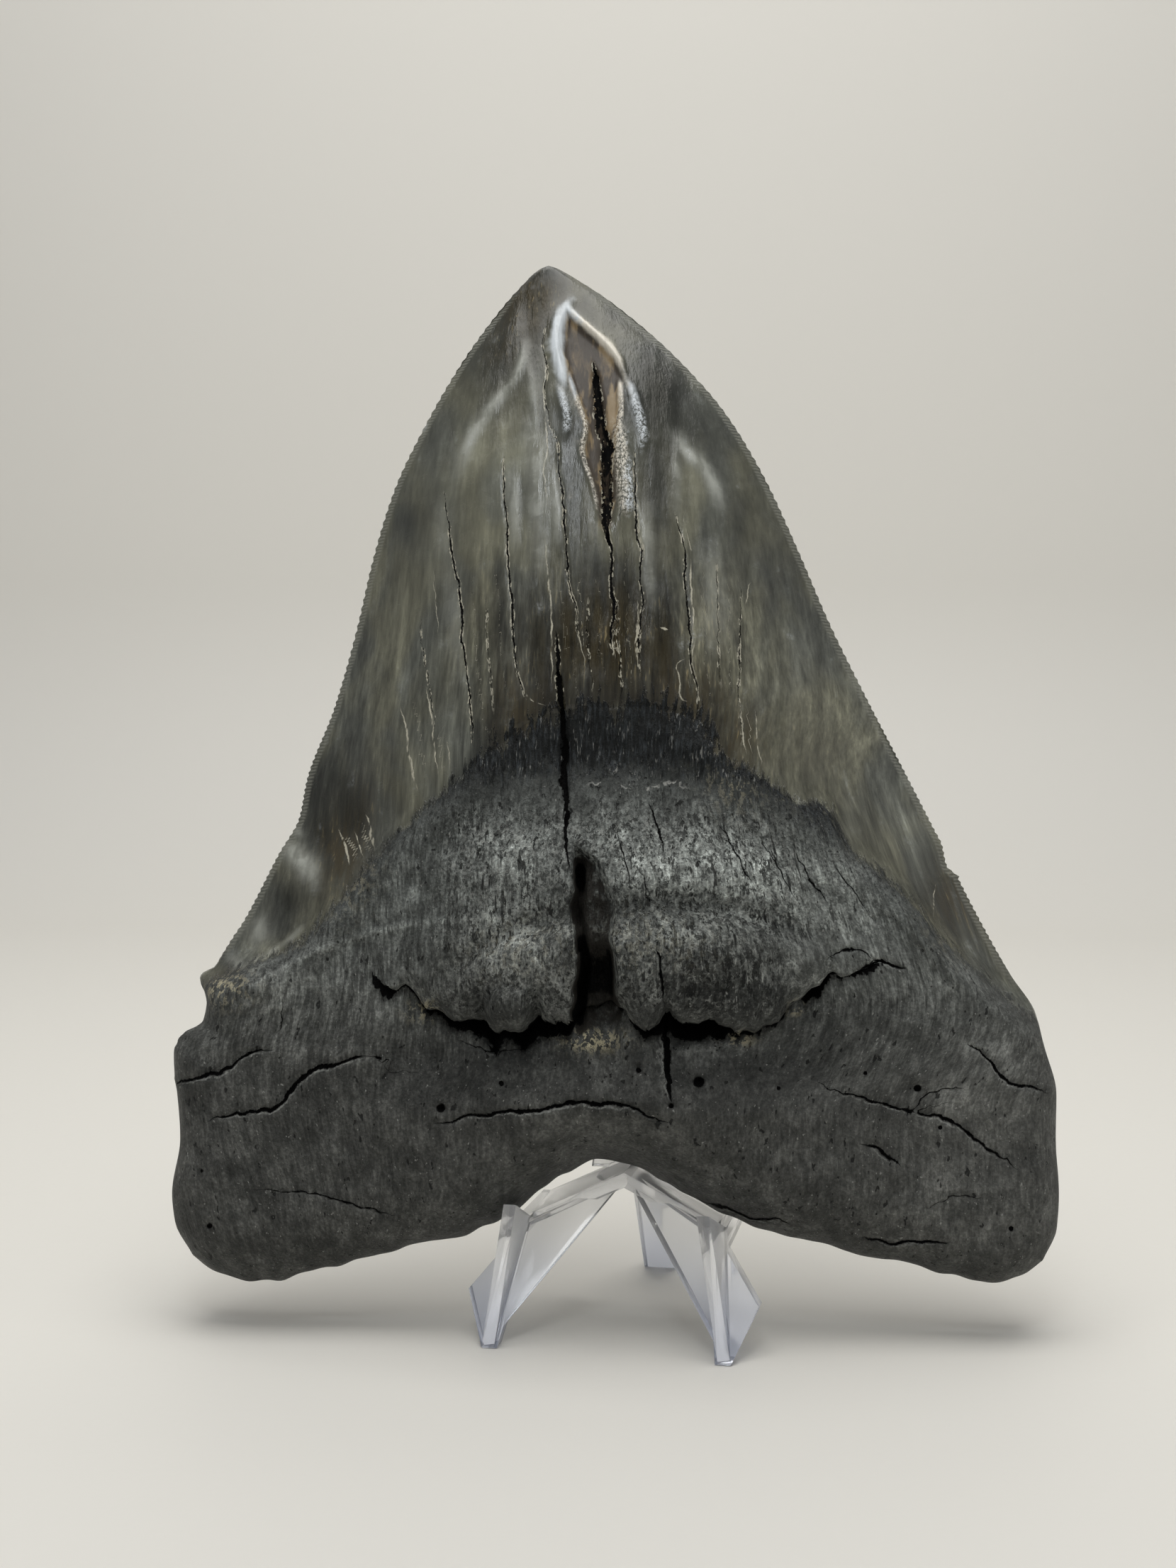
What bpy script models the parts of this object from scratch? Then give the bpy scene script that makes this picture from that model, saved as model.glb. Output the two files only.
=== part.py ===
# Fossil megalodon tooth resting on a small clear display stand.
#
# X runs across the tooth, Y away from its displayed (lingual) face, Z up.
# The floor is Z = 0 and the origin is the middle of the footprint.
#
# The tooth is laid out in its own plane: x across, v up the blade and
# d towards the viewer, all in millimetres. The plane leans back on the stand.

import bmesh
import bpy
import numpy as np
from math import cos, radians, sin

for old in list(bpy.data.objects):
    bpy.data.objects.remove(old, do_unlink=True)

MM = 0.001

# ---------------------------------------------------------------- tooth sizes
LEAN = radians(12.0)          # how far the blade leans back on the stand
LOBE_CLEARANCE = 6.5          # lowest point of the root lobes above the floor
BLADE_Y = -9.8                # y of the blade's mid plane at the lobes
TIP = (-10.6, 152.8)          # x, v of the tip

LEFT_EDGE = [                 # x, v from the left lobe up to the tip
    (-60.1, 3.3), (-62.9, 8.0), (-63.5, 12.6), (-62.6, 19.5), (-63.3, 26.5),
    (-64.1, 30.5), (-63.6, 33.6), (-60.8, 35.6), (-60.2, 40.5), (-59.6, 44.0),
    (-54.6, 51.5), (-49.5, 61.8), (-46.6, 67.2), (-45.6, 73.0), (-41.8, 83.8),
    (-38.8, 95.5), (-36.6, 106.3), (-33.6, 117.2), (-28.8, 128.0), (-23.0, 138.4),
    (-17.2, 146.6), (-13.4, 150.9), TIP]
RIGHT_EDGE = [                # x, v from the right lobe up to the tip
    (61.7, 4.4), (63.8, 9.0), (64.2, 14.3), (63.9, 21.0), (64.1, 28.0), (62.6, 34.2),
    (61.3, 39.5), (57.9, 44.8), (52.6, 54.6), (47.5, 65.2), (42.3, 75.7), (37.0, 86.3),
    (32.0, 96.8), (27.4, 107.9), (22.5, 118.9), (16.4, 129.3), (8.6, 138.4),
    (-1.0, 146.9), (-7.2, 151.2), TIP]
BOTTOM_EDGE = [               # x, v along the root from lobe to lobe, over the notch
    (-60.1, 3.3), (-57.4, 1.4), (-53.5, 0.1), (-49.6, -0.2), (-44.4, 0.9), (-36.8, 2.6),
    (-29.1, 4.9), (-21.4, 6.7), (-16.3, 8.6), (-11.2, 12.3), (-6.1, 15.7), (-1.6, 17.6),
    (2.5, 17.1), (6.7, 15.4), (14.4, 11.3), (22.0, 8.2), (32.1, 5.9), (42.2, 3.8),
    (49.7, 1.9), (54.7, 1.1), (58.2, 1.9), (61.7, 4.4)]
BORDER = [                    # x, v of the enamel's lower edge on the front
    (-66.0, 39.5), (-57.8, 42.9), (-44.7, 48.0), (-38.5, 54.4), (-32.4, 61.7), (-24.6, 68.7),
    (-18.2, 74.0), (-12.1, 78.3), (-3.0, 80.8), (5.0, 81.0), (12.6, 78.8), (18.5, 73.8),
    (25.1, 69.0), (31.2, 66.5), (36.0, 60.8), (43.6, 53.8), (50.1, 46.9), (60.3, 38.7),
    (66.0, 35.0)]
BACK_BORDER = [               # the same on the back, where the enamel reaches lower
    (-66.0, 40.0), (-58.0, 43.5), (-45.0, 46.0), (-30.0, 53.0), (-15.0, 59.5), (0.0, 61.5),
    (15.0, 59.0), (30.0, 52.0), (45.0, 44.5), (60.0, 39.0), (66.0, 36.0)]
LIP = [                       # x, v of the broken lower lip of the root's boss
    (-34.0, 44.5), (-30.5, 41.6), (-27.0, 40.4), (-22.3, 37.6), (-16.4, 36.9), (-13.4, 35.7),
    (-10.0, 37.0), (-6.1, 36.7), (-2.0, 38.0), (2.5, 38.4), (5.7, 36.2), (8.5, 37.9),
    (15.0, 37.1), (20.3, 35.8), (24.8, 37.8), (28.0, 41.4), (33.2, 44.8), (39.0, 46.0)]
GROOVE = [(21.0, 5.5), (38.0, -0.6), (48.5, -1.2), (57.0, -2.6), (62.0, -4.2), (80.0, -6.5)]   # v, x

CROWN_FRONT = [(40.0, 16.5), (60.0, 15.5), (80.0, 14.2), (100.0, 11.8), (120.0, 8.8),
               (140.0, 4.6), (153.0, 0.9)]             # v, height of the front on the midline
CROWN_BACK = [(30.0, 8.6), (60.0, 7.2), (100.0, 5.6), (130.0, 3.6), (153.0, 0.8)]

LOBE_FRONT = 7.6              # height of the lobes' front and back over the mid plane
LOBE_BACK = 7.4
MASSIF = 5.4                  # swelling of the middle of the root
BOSS = 6.4                    # boss above the lip
LIP_DROP = 5.6                # step from the lip to the face below it
UNDERCUT = 1.7                # how far the groove reaches up under the lip
ROOT_RIM = 10.0               # rounding of the root's rim

# columns and rows of the tooth's grid, and the lines that they close up on
COLUMNS, ROWS = 40, 50
GROOVE_COLUMN = 0.485
LIP_ROW = 0.235

# ---------------------------------------------------------------- stand sizes
# (in the stand's own frame: y = 0 on the line through its front feet)
STAND_TURN = radians(-9.5)    # the stand sits a little turned under the tooth
STAND_X, STAND_Y = 0.0, -21.4   # middle between its front feet
FOOT = (15.4, 17.6)           # inner and outer half width of the feet on the floor
HEEL = (20.8, 6.7)            # half width and height of the feet's outer corner
INNER_START = (14.9, 2.6)     # where the inverted V leaves the foot
CUT_APEX = 21.0               # height of the inverted V
LEG_LEAN = 0.73               # the legs' run back for each unit of rise
WALL = 2.2                    # thickness of legs, saddle and backrest
SADDLE_TOP = 22.4             # ridge height of the roof-shaped saddle under the notch
SADDLE_SLOPE = 0.48           # its fall to each side for each unit of width
SADDLE_HALF = 14.4            # its half width
SADDLE_Y = (13.4, 27.2)       # its front and rear ends
FLANGE = 1.8                  # thickness of the upright flanges
FLANGE_IN = 0.154             # their run inwards for each unit of rise
LEDGE = [(0.5, 20.4), (11.5, 15.9)]   # y, z of the ledge on top of each flange
BACKREST_Y = 25.2             # y of the backrest's front at the saddle
BACKREST_LEAN = 0.235         # its run back for each unit of rise
BACKREST_HALF = (7.2, 6.0)    # its half width at the saddle and near the top
BACKREST_TOP = 54.0
REAR_FOOT = (42.5, 46.0)      # y of the rear leg's foot
REAR_TOP = (29.0, 37.0)       # heights between which the rear leg meets the backrest
REAR_HALF = (3.4, 2.6)        # half width of the rear leg at its top and foot


# ------------------------------------------------------------------- helpers
def curve_at(points, at):
    """Value at `at` on a smooth monotone-safe cubic through (key, value) points."""
    key, value = np.array(points, dtype=float).T
    step = np.diff(key)
    slope = np.diff(value) / step
    left, right = slope[:-1], slope[1:]
    mean = np.where(left * right > 0, 2 * left * right / (left + right + 1e-12), 0.0)
    tangent = np.concatenate([[slope[0]], mean, [slope[-1]]])
    i = np.clip(np.searchsorted(key, at) - 1, 0, len(step) - 1)
    t = np.clip((at - key[i]) / step[i], 0.0, 1.0)
    h = step[i]
    return ((1 + 2 * t) * (1 - t) ** 2 * value[i] + t * (1 - t) ** 2 * h * tangent[i]
            + t * t * (3 - 2 * t) * value[i + 1] + t * t * (t - 1) * h * tangent[i + 1])


def ease(low, high, x):
    t = np.clip((x - low) / (high - low), 0.0, 1.0)
    return t * t * (3 - 2 * t)


def hill(x, centre, width):
    return np.exp(-((x - centre) / width) ** 2)


def spaced(count, density):
    """`count` + 1 parameters from 0 to 1, closer together where density is high."""
    fine = np.linspace(0.0, 1.0, 2001)
    total = np.concatenate([[0.0], np.cumsum(density(0.5 * (fine[1:] + fine[:-1])))])
    return np.interp(np.linspace(0.0, total[-1], count + 1), total, fine)


def swap(points):
    return [(v, x) for x, v in points]


# --------------------------------------------------------------------- tooth
def blade_grid(columns, rows):
    """x, v of each grid point: a Coons patch between the two edges, the root's
    bottom and the tip, with a row drawn onto the lip and a column onto the groove."""
    across = spaced(columns, lambda s: 1 + 2.6 * (hill(s, 0, 0.035) + hill(s, 1, 0.035))
                    + 1.5 * hill(s, GROOVE_COLUMN, 0.03))
    up = spaced(rows, lambda t: 1 + 3.0 * hill(t, 0, 0.03) + 1.9 * hill(t, LIP_ROW, 0.045)
                + 0.5 * hill(t, 0.12, 0.15) + 1.2 * hill(t, 1, 0.02))[:-1]
    s, t = np.meshgrid(across, up, indexing="ij")
    v_left = LEFT_EDGE[0][1] + (TIP[1] - LEFT_EDGE[0][1]) * t
    v_right = RIGHT_EDGE[0][1] + (TIP[1] - RIGHT_EDGE[0][1]) * t
    x_left = curve_at(swap(LEFT_EDGE), v_left)
    x_right = curve_at(swap(RIGHT_EDGE), v_right)
    x_bottom = LEFT_EDGE[0][0] + (RIGHT_EDGE[0][0] - LEFT_EDGE[0][0]) * s
    arch = curve_at(BOTTOM_EDGE, x_bottom) - ((1 - s) * v_left[0, 0] + s * v_right[0, 0])
    x = (1 - s) * x_left + s * x_right
    v = (1 - s) * v_left + s * v_right + (1 - t) * arch
    reach = ease(-44, -30, x) * (1 - ease(40, 54, x))
    row = np.argmin(np.abs(up - LIP_ROW))
    pull = (curve_at(LIP, x[:, row]) - v[:, row]) * reach[:, row]
    v = v + pull[:, None] * ease(0, up[row], t) * (1 - ease(up[row], 0.5, t))
    column = np.argmin(np.abs(across - GROOVE_COLUMN))
    pull = (curve_at(GROOVE, v[column]) - x[column]) * ease(18, 30, v[column]) * (1 - ease(70, 95, v[column]))
    x = x + pull[None, :] * ease(0.25, across[column], s) * (1 - ease(across[column], 0.72, s))
    return x, v, s, t


def rim_distance(x, v):
    """Distance of each point from the outline of the blade."""
    edge_v = np.linspace(LEFT_EDGE[0][1], TIP[1], 160)
    edge_w = np.linspace(RIGHT_EDGE[0][1], TIP[1], 160)
    edge_x = np.linspace(BOTTOM_EDGE[0][0], BOTTOM_EDGE[-1][0], 160)
    outline = np.concatenate([
        np.stack([curve_at(swap(LEFT_EDGE), edge_v), edge_v], 1)[::-1],
        np.stack([edge_x, curve_at(BOTTOM_EDGE, edge_x)], 1),
        np.stack([curve_at(swap(RIGHT_EDGE), edge_w), edge_w], 1)])
    nearest = np.full(x.shape, 1e9)
    for a, b in zip(outline[:-1], outline[1:]):
        run = b - a
        length = run @ run
        if length < 1e-9:
            continue
        t = np.clip(((x - a[0]) * run[0] + (v - a[1]) * run[1]) / length, 0, 1)
        nearest = np.minimum(nearest, np.hypot(x - a[0] - t * run[0], v - a[1] - t * run[1]))
    return nearest


def round_rim(rho, radius):
    """Quarter-round rise from 0 at the rim to 1 at `radius` inside it."""
    return np.sqrt(1 - (1 - np.clip(rho / radius, 0, 1)) ** 2)


def lip_profile(x):
    """How much of the lip's step is left: nothing at its ends."""
    return ease(-34, -24, x) * (1 - ease(24, 39, x))


def front_face(x, v, s, rho):
    """Height d and upward shift of the front: lens-shaped crown, massive root
    with a boss that ends in a broken, undercut lip and is split by a groove."""
    side = 2 * s - 1
    crown = curve_at(CROWN_FRONT, v) * (1 - side ** 2) ** 0.92
    root = LOBE_FRONT + MASSIF * hill(x, 2, 31) * ease(4, 34, v)
    boss = hill(x, 1, 25) * ease(84, 50, v) * (1 - 0.16 * ease(50, 37, v))
    step = lip_profile(x) * ease(0.4, -0.4, v - curve_at(LIP, x))
    root = (root + BOSS * boss - LIP_DROP * step * ease(24, 33, v)) * round_rim(rho, ROOT_RIM)
    blend = ease(-6, 5, v - curve_at(BORDER, x))
    depth = root * (1 - blend) + crown * blend
    depth += 0.7 * hill(v - curve_at(BORDER, x), -4, 3) * round_rim(rho, 6)
    gap = x - curve_at(GROOVE, v)
    half = 0.5 + 2.2 * ease(64, 40, v) * ease(20, 36, v)
    depth -= 5.0 * np.exp(-(gap / half) ** 4) * ease(22, 36, v) * (1 - ease(56, 68, v))
    below = curve_at(LIP, x) - v
    lift = UNDERCUT * lip_profile(x) * ease(0.0, 0.5, below) * (1 - ease(1.5, 8.0, below))
    return depth, lift


def back_face(x, v, s, rho):
    """Height of the back: a flat, faintly convex crown and a flat root."""
    side = 2 * s - 1
    crown = curve_at(CROWN_BACK, v) * (1 - side ** 2) ** 0.7
    root = (LOBE_BACK + 1.6 * hill(x, 0, 40) * ease(8, 40, v)
            - 1.2 * hill(x, 0, 16) * hill(v, 30, 14)) * round_rim(rho, 0.85 * ROOT_RIM)
    blend = ease(-5, 5, v - curve_at(BACK_BORDER, x))
    return root * (1 - blend) + crown * blend


def place(x, v, d):
    """Tooth plane to the object's frame: leaned back by LEAN, lobes off the floor."""
    return np.stack([x, BLADE_Y + v * sin(LEAN) - d * cos(LEAN),
                     LOBE_CLEARANCE + v * cos(LEAN) + d * sin(LEAN)], -1) * MM


def grid_faces(index, flip):
    """Quads of a grid of vertex numbers, turned over when `flip` is set."""
    a, b, c, d = index[:-1, :-1], index[1:, :-1], index[1:, 1:], index[:-1, 1:]
    quads = np.stack([a, b, c, d], -1).reshape(-1, 4)
    return quads[:, ::-1] if flip else quads


def make_tooth():
    x, v, s, t = blade_grid(COLUMNS, ROWS)
    rho = rim_distance(x, v)
    depth, lift = front_face(x, v, s, rho)
    front = place(x, v + lift, depth)
    back = place(x, v, -back_face(x, v, s, rho))
    rim = place(x, v, 0 * x)
    columns, rows = x.shape
    on_rim = np.zeros(x.shape, bool)
    on_rim[0], on_rim[-1], on_rim[:, 0] = True, True, True
    front[on_rim], back[on_rim] = rim[on_rim], rim[on_rim]

    count = columns * rows
    front_index = np.arange(count).reshape(columns, rows)
    back_index = front_index + count
    back_index = np.where(on_rim, front_index, back_index)
    points = np.concatenate([front.reshape(-1, 3), back.reshape(-1, 3),
                             place(*[np.array([k]) for k in (TIP[0], TIP[1], 0.0)])])
    tip = len(points) - 1
    faces = [tuple(q) for q in grid_faces(front_index, False)]
    faces += [tuple(q) for q in grid_faces(back_index, True)]
    for k in range(columns - 1):
        faces.append((front_index[k, -1], front_index[k + 1, -1], tip))
        faces.append((back_index[k + 1, -1], back_index[k, -1], tip))

    mesh = bpy.data.meshes.new("tooth")
    mesh.from_pydata(points.tolist(), [], [tuple(int(n) for n in f) for f in faces])
    bm = bmesh.new()
    bm.from_mesh(mesh)
    loose = [vert for vert in bm.verts if not vert.link_faces]
    bmesh.ops.delete(bm, geom=loose, context="VERTS")
    bmesh.ops.triangulate(bm, faces=bm.faces[:])
    bmesh.ops.recalc_face_normals(bm, faces=bm.faces[:])
    bm.to_mesh(mesh)
    bm.free()
    mesh.shade_smooth()
    tooth = bpy.data.objects.new("tooth", mesh)
    bpy.context.collection.objects.link(tooth)
    return tooth


# --------------------------------------------------------------------- stand
def prism(name, ring_a, ring_b):
    """A closed solid between two matching rings of points in millimetres."""
    mesh = bpy.data.meshes.new(name)
    n = len(ring_a)
    faces = [tuple(range(n)), tuple(range(2 * n - 1, n - 1, -1))]
    faces += [(i, (i + 1) % n, n + (i + 1) % n, n + i) for i in range(n)]
    mesh.from_pydata([tuple(c * MM for c in p) for p in list(ring_a) + list(ring_b)], [], faces)
    bm = bmesh.new()
    bm.from_mesh(mesh)
    bmesh.ops.recalc_face_normals(bm, faces=bm.faces[:])
    bm.to_mesh(mesh)
    bm.free()
    made = bpy.data.objects.new(name, mesh)
    bpy.context.collection.objects.link(made)
    return made


def leg_y(z):
    return LEG_LEAN * z


def backrest_y(z):
    return BACKREST_Y + BACKREST_LEAN * (z - SADDLE_TOP)


def saddle_z(x):
    return SADDLE_TOP - SADDLE_SLOPE * abs(x)


def make_legs():
    """A-shaped panel on two pointed feet, leaning back to the saddle."""
    through = WALL * (1 + LEG_LEAN ** 2) ** 0.5
    sink = 0.8                     # how far the legs' top stays below the saddle's top
    hip = (SADDLE_HALF - 0.2, saddle_z(SADDLE_HALF) - sink)
    right = [(FOOT[0], 0.0), (FOOT[1], 0.0), HEEL, hip, (0.0, SADDLE_TOP - sink)]
    left = [(-x, z) for x, z in reversed(right[:-1])]
    cut = [(-INNER_START[0], INNER_START[1]), (-0.6, CUT_APEX - 0.6), (0.6, CUT_APEX - 0.6), INNER_START]
    outline = right + left + cut
    return prism("legs", [(x, leg_y(z), z) for x, z in outline],
                 [(x, leg_y(z) + through, z) for x, z in outline])


def make_saddle():
    """Roof-shaped plate that the root's notch sits on."""
    half = SADDLE_HALF
    section = [(-half, saddle_z(half)), (0.0, SADDLE_TOP), (half, saddle_z(half)),
               (half, saddle_z(half) - WALL), (0.0, SADDLE_TOP - WALL), (-half, saddle_z(half) - WALL)]
    return prism("saddle", [(x, SADDLE_Y[0], z) for x, z in section],
                 [(x, SADDLE_Y[1], z) for x, z in section])


def make_flange(side):
    """Upright plate over one foot: its front edge rises to the ledge."""
    low = saddle_z(SADDLE_HALF) - WALL
    through = WALL * (1 + LEG_LEAN ** 2) ** 0.5
    profile = [(0.0, 0.0), LEDGE[0], LEDGE[1], (SADDLE_Y[1], LEDGE[1][1] - 0.3),
               (SADDLE_Y[1], low), (leg_y(low) + through, low - 0.4), (through - 0.2, 0.0)]

    def face(offset):
        return [(side * (FOOT[1] - 0.9 + offset - FLANGE_IN * z), y, z) for y, z in profile]

    return prism("flange", face(-0.5 * FLANGE), face(0.5 * FLANGE))


def make_backrest():
    """Tongue behind the tooth with a rounded top."""
    low, crown = SADDLE_TOP - WALL, BACKREST_TOP - BACKREST_HALF[1]
    arc = [(BACKREST_HALF[1] * cos(radians(a)), crown + BACKREST_HALF[1] * sin(radians(a)))
           for a in range(0, 181, 15)]
    outline = [(BACKREST_HALF[0], low)] + arc + [(-BACKREST_HALF[0], low)]
    return prism("backrest", [(x, backrest_y(z), z) for x, z in outline],
                 [(x, backrest_y(z) + WALL, z) for x, z in outline])


def make_rear_leg():
    """Prop from the backrest down to the floor behind."""
    ring_top = [(x, backrest_y(z) + 1.0, z) for x, z in (
        (-REAR_HALF[0], REAR_TOP[0]), (REAR_HALF[0], REAR_TOP[0]),
        (REAR_HALF[0], REAR_TOP[1]), (-REAR_HALF[0], REAR_TOP[1]))]
    ring_foot = [(-REAR_HALF[1], REAR_FOOT[0], 0.0), (REAR_HALF[1], REAR_FOOT[0], 0.0),
                 (REAR_HALF[1], REAR_FOOT[1], 0.0), (-REAR_HALF[1], REAR_FOOT[1], 0.0)]
    return prism("rear_leg", ring_top, ring_foot)


def apply_modifiers(thing):
    bpy.context.view_layer.update()
    graph = bpy.context.evaluated_depsgraph_get()
    mesh = bpy.data.meshes.new_from_object(thing.evaluated_get(graph))
    thing.modifiers.clear()
    thing.data = mesh


def make_stand():
    """All of the stand joined into one clear body and turned into place."""
    stand = make_legs()
    stand.name = "stand"
    stand.data.name = "stand"
    for piece in (make_saddle(), make_flange(1), make_flange(-1), make_backrest(), make_rear_leg()):
        union = stand.modifiers.new("union", "BOOLEAN")
        union.operation = "UNION"
        union.solver = "EXACT"
        union.object = piece
        apply_modifiers(stand)
        bpy.data.objects.remove(piece, do_unlink=True)
    stand.location = (STAND_X * MM, STAND_Y * MM, 0.0)
    stand.rotation_euler = (0.0, 0.0, STAND_TURN)
    return stand


# ----------------------------------------------------------------- materials
def paint(thing, name, colour, roughness, transmission=0.0, ior=1.5):
    material = bpy.data.materials.new(name)
    material.use_nodes = True
    shader = material.node_tree.nodes["Principled BSDF"]
    shader.inputs["Base Color"].default_value = (*colour, 1.0)
    shader.inputs["Roughness"].default_value = roughness
    shader.inputs["Metallic"].default_value = 0.0
    shader.inputs["Transmission Weight"].default_value = transmission
    shader.inputs["IOR"].default_value = ior
    thing.data.materials.clear()
    thing.data.materials.append(material)


paint(make_tooth(), "fossil tooth", (0.075, 0.075, 0.068), 0.45)
paint(make_stand(), "clear plastic", (0.93, 0.95, 0.98), 0.05, transmission=1.0, ior=1.49)
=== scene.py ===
import bmesh
import bpy
import numpy as np
from math import cos, radians, sin, tan
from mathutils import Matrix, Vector


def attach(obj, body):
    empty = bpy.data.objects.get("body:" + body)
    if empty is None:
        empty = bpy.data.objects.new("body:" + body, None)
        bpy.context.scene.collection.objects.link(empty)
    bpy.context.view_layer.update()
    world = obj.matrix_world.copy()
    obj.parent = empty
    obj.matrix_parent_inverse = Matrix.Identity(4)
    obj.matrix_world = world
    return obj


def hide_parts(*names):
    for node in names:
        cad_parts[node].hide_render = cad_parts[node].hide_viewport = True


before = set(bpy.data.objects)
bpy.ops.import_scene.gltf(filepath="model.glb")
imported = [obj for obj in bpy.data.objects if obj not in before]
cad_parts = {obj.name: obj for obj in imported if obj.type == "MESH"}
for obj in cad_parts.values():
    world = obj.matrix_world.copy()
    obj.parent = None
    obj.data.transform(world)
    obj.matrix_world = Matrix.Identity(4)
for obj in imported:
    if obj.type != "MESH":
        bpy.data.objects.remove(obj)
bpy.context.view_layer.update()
mm = 0.001
far = 9.0                          # mm, stands for a distance that no longer matters
print("frame loaded:", ", ".join(sorted(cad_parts)))


# curves and noise on whole arrays

def curveAt(points, at):
    # cubic through (key, value) points whose slope at each point is the harmonic
    # mean of its neighbours' slopes, so it never overshoots them
    key, value = np.array(points, dtype=float).T
    step = np.diff(key)
    slope = np.diff(value) / step
    left, right = slope[:-1], slope[1:]
    mean = np.where(left * right > 0, 2 * left * right / (left + right + 1e-12), 0.0)
    tangent = np.concatenate([[slope[0]], mean, [slope[-1]]])
    i = np.clip(np.searchsorted(key, at) - 1, 0, len(step) - 1)
    t = np.clip((at - key[i]) / step[i], 0.0, 1.0)
    h = step[i]
    return ((1 + 2 * t) * (1 - t) ** 2 * value[i] + t * (1 - t) ** 2 * h * tangent[i]
            + t * t * (3 - 2 * t) * value[i + 1] + t * t * (t - 1) * h * tangent[i + 1])


def ease(low, high, x):
    # smoothstep from 0 at low to 1 at high
    t = np.clip((x - low) / (high - low), 0.0, 1.0)
    return t * t * (3 - 2 * t)


def hill(x, centre, width):
    # Gaussian bump of height 1
    return np.exp(-((x - centre) / width) ** 2)


def spaced(count, density, steps=4000):
    # count + 1 parameters from 0 to 1: the inverse of the running sum of density
    fine = np.linspace(0.0, 1.0, steps + 1)
    total = np.concatenate([[0.0], np.cumsum(density(0.5 * (fine[1:] + fine[:-1])))])
    return np.interp(np.linspace(0.0, total[-1], count + 1), total, fine)


def swap(points):
    # the same outline as x at each v
    return [(v, x) for x, v in points]


def softNoise(u, v, size, seed, cells=97, start=40.0):
    # value noise from -1 to 1: random heights on a lattice with cells `size` wide, blended
    # across each cell with a smoothstep in both directions; it repeats after `cells`
    table = np.random.default_rng(seed).uniform(-1, 1, (cells, cells))
    a, b = u / size + start, v / size + start
    i, j = np.floor(a).astype(int), np.floor(b).astype(int)
    fa, fb = ease(0, 1, a - i), ease(0, 1, b - j)

    def corner(p, q):
        return table[(i + p) % cells, (j + q) % cells]

    low = corner(0, 0) * (1 - fa) + corner(1, 0) * fa
    high = corner(0, 1) * (1 - fa) + corner(1, 1) * fa
    return low * (1 - fb) + high * fb


# the tooth, laid out in its own plane: x across, v up the blade and
# d towards the viewer, all in millimetres

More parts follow.
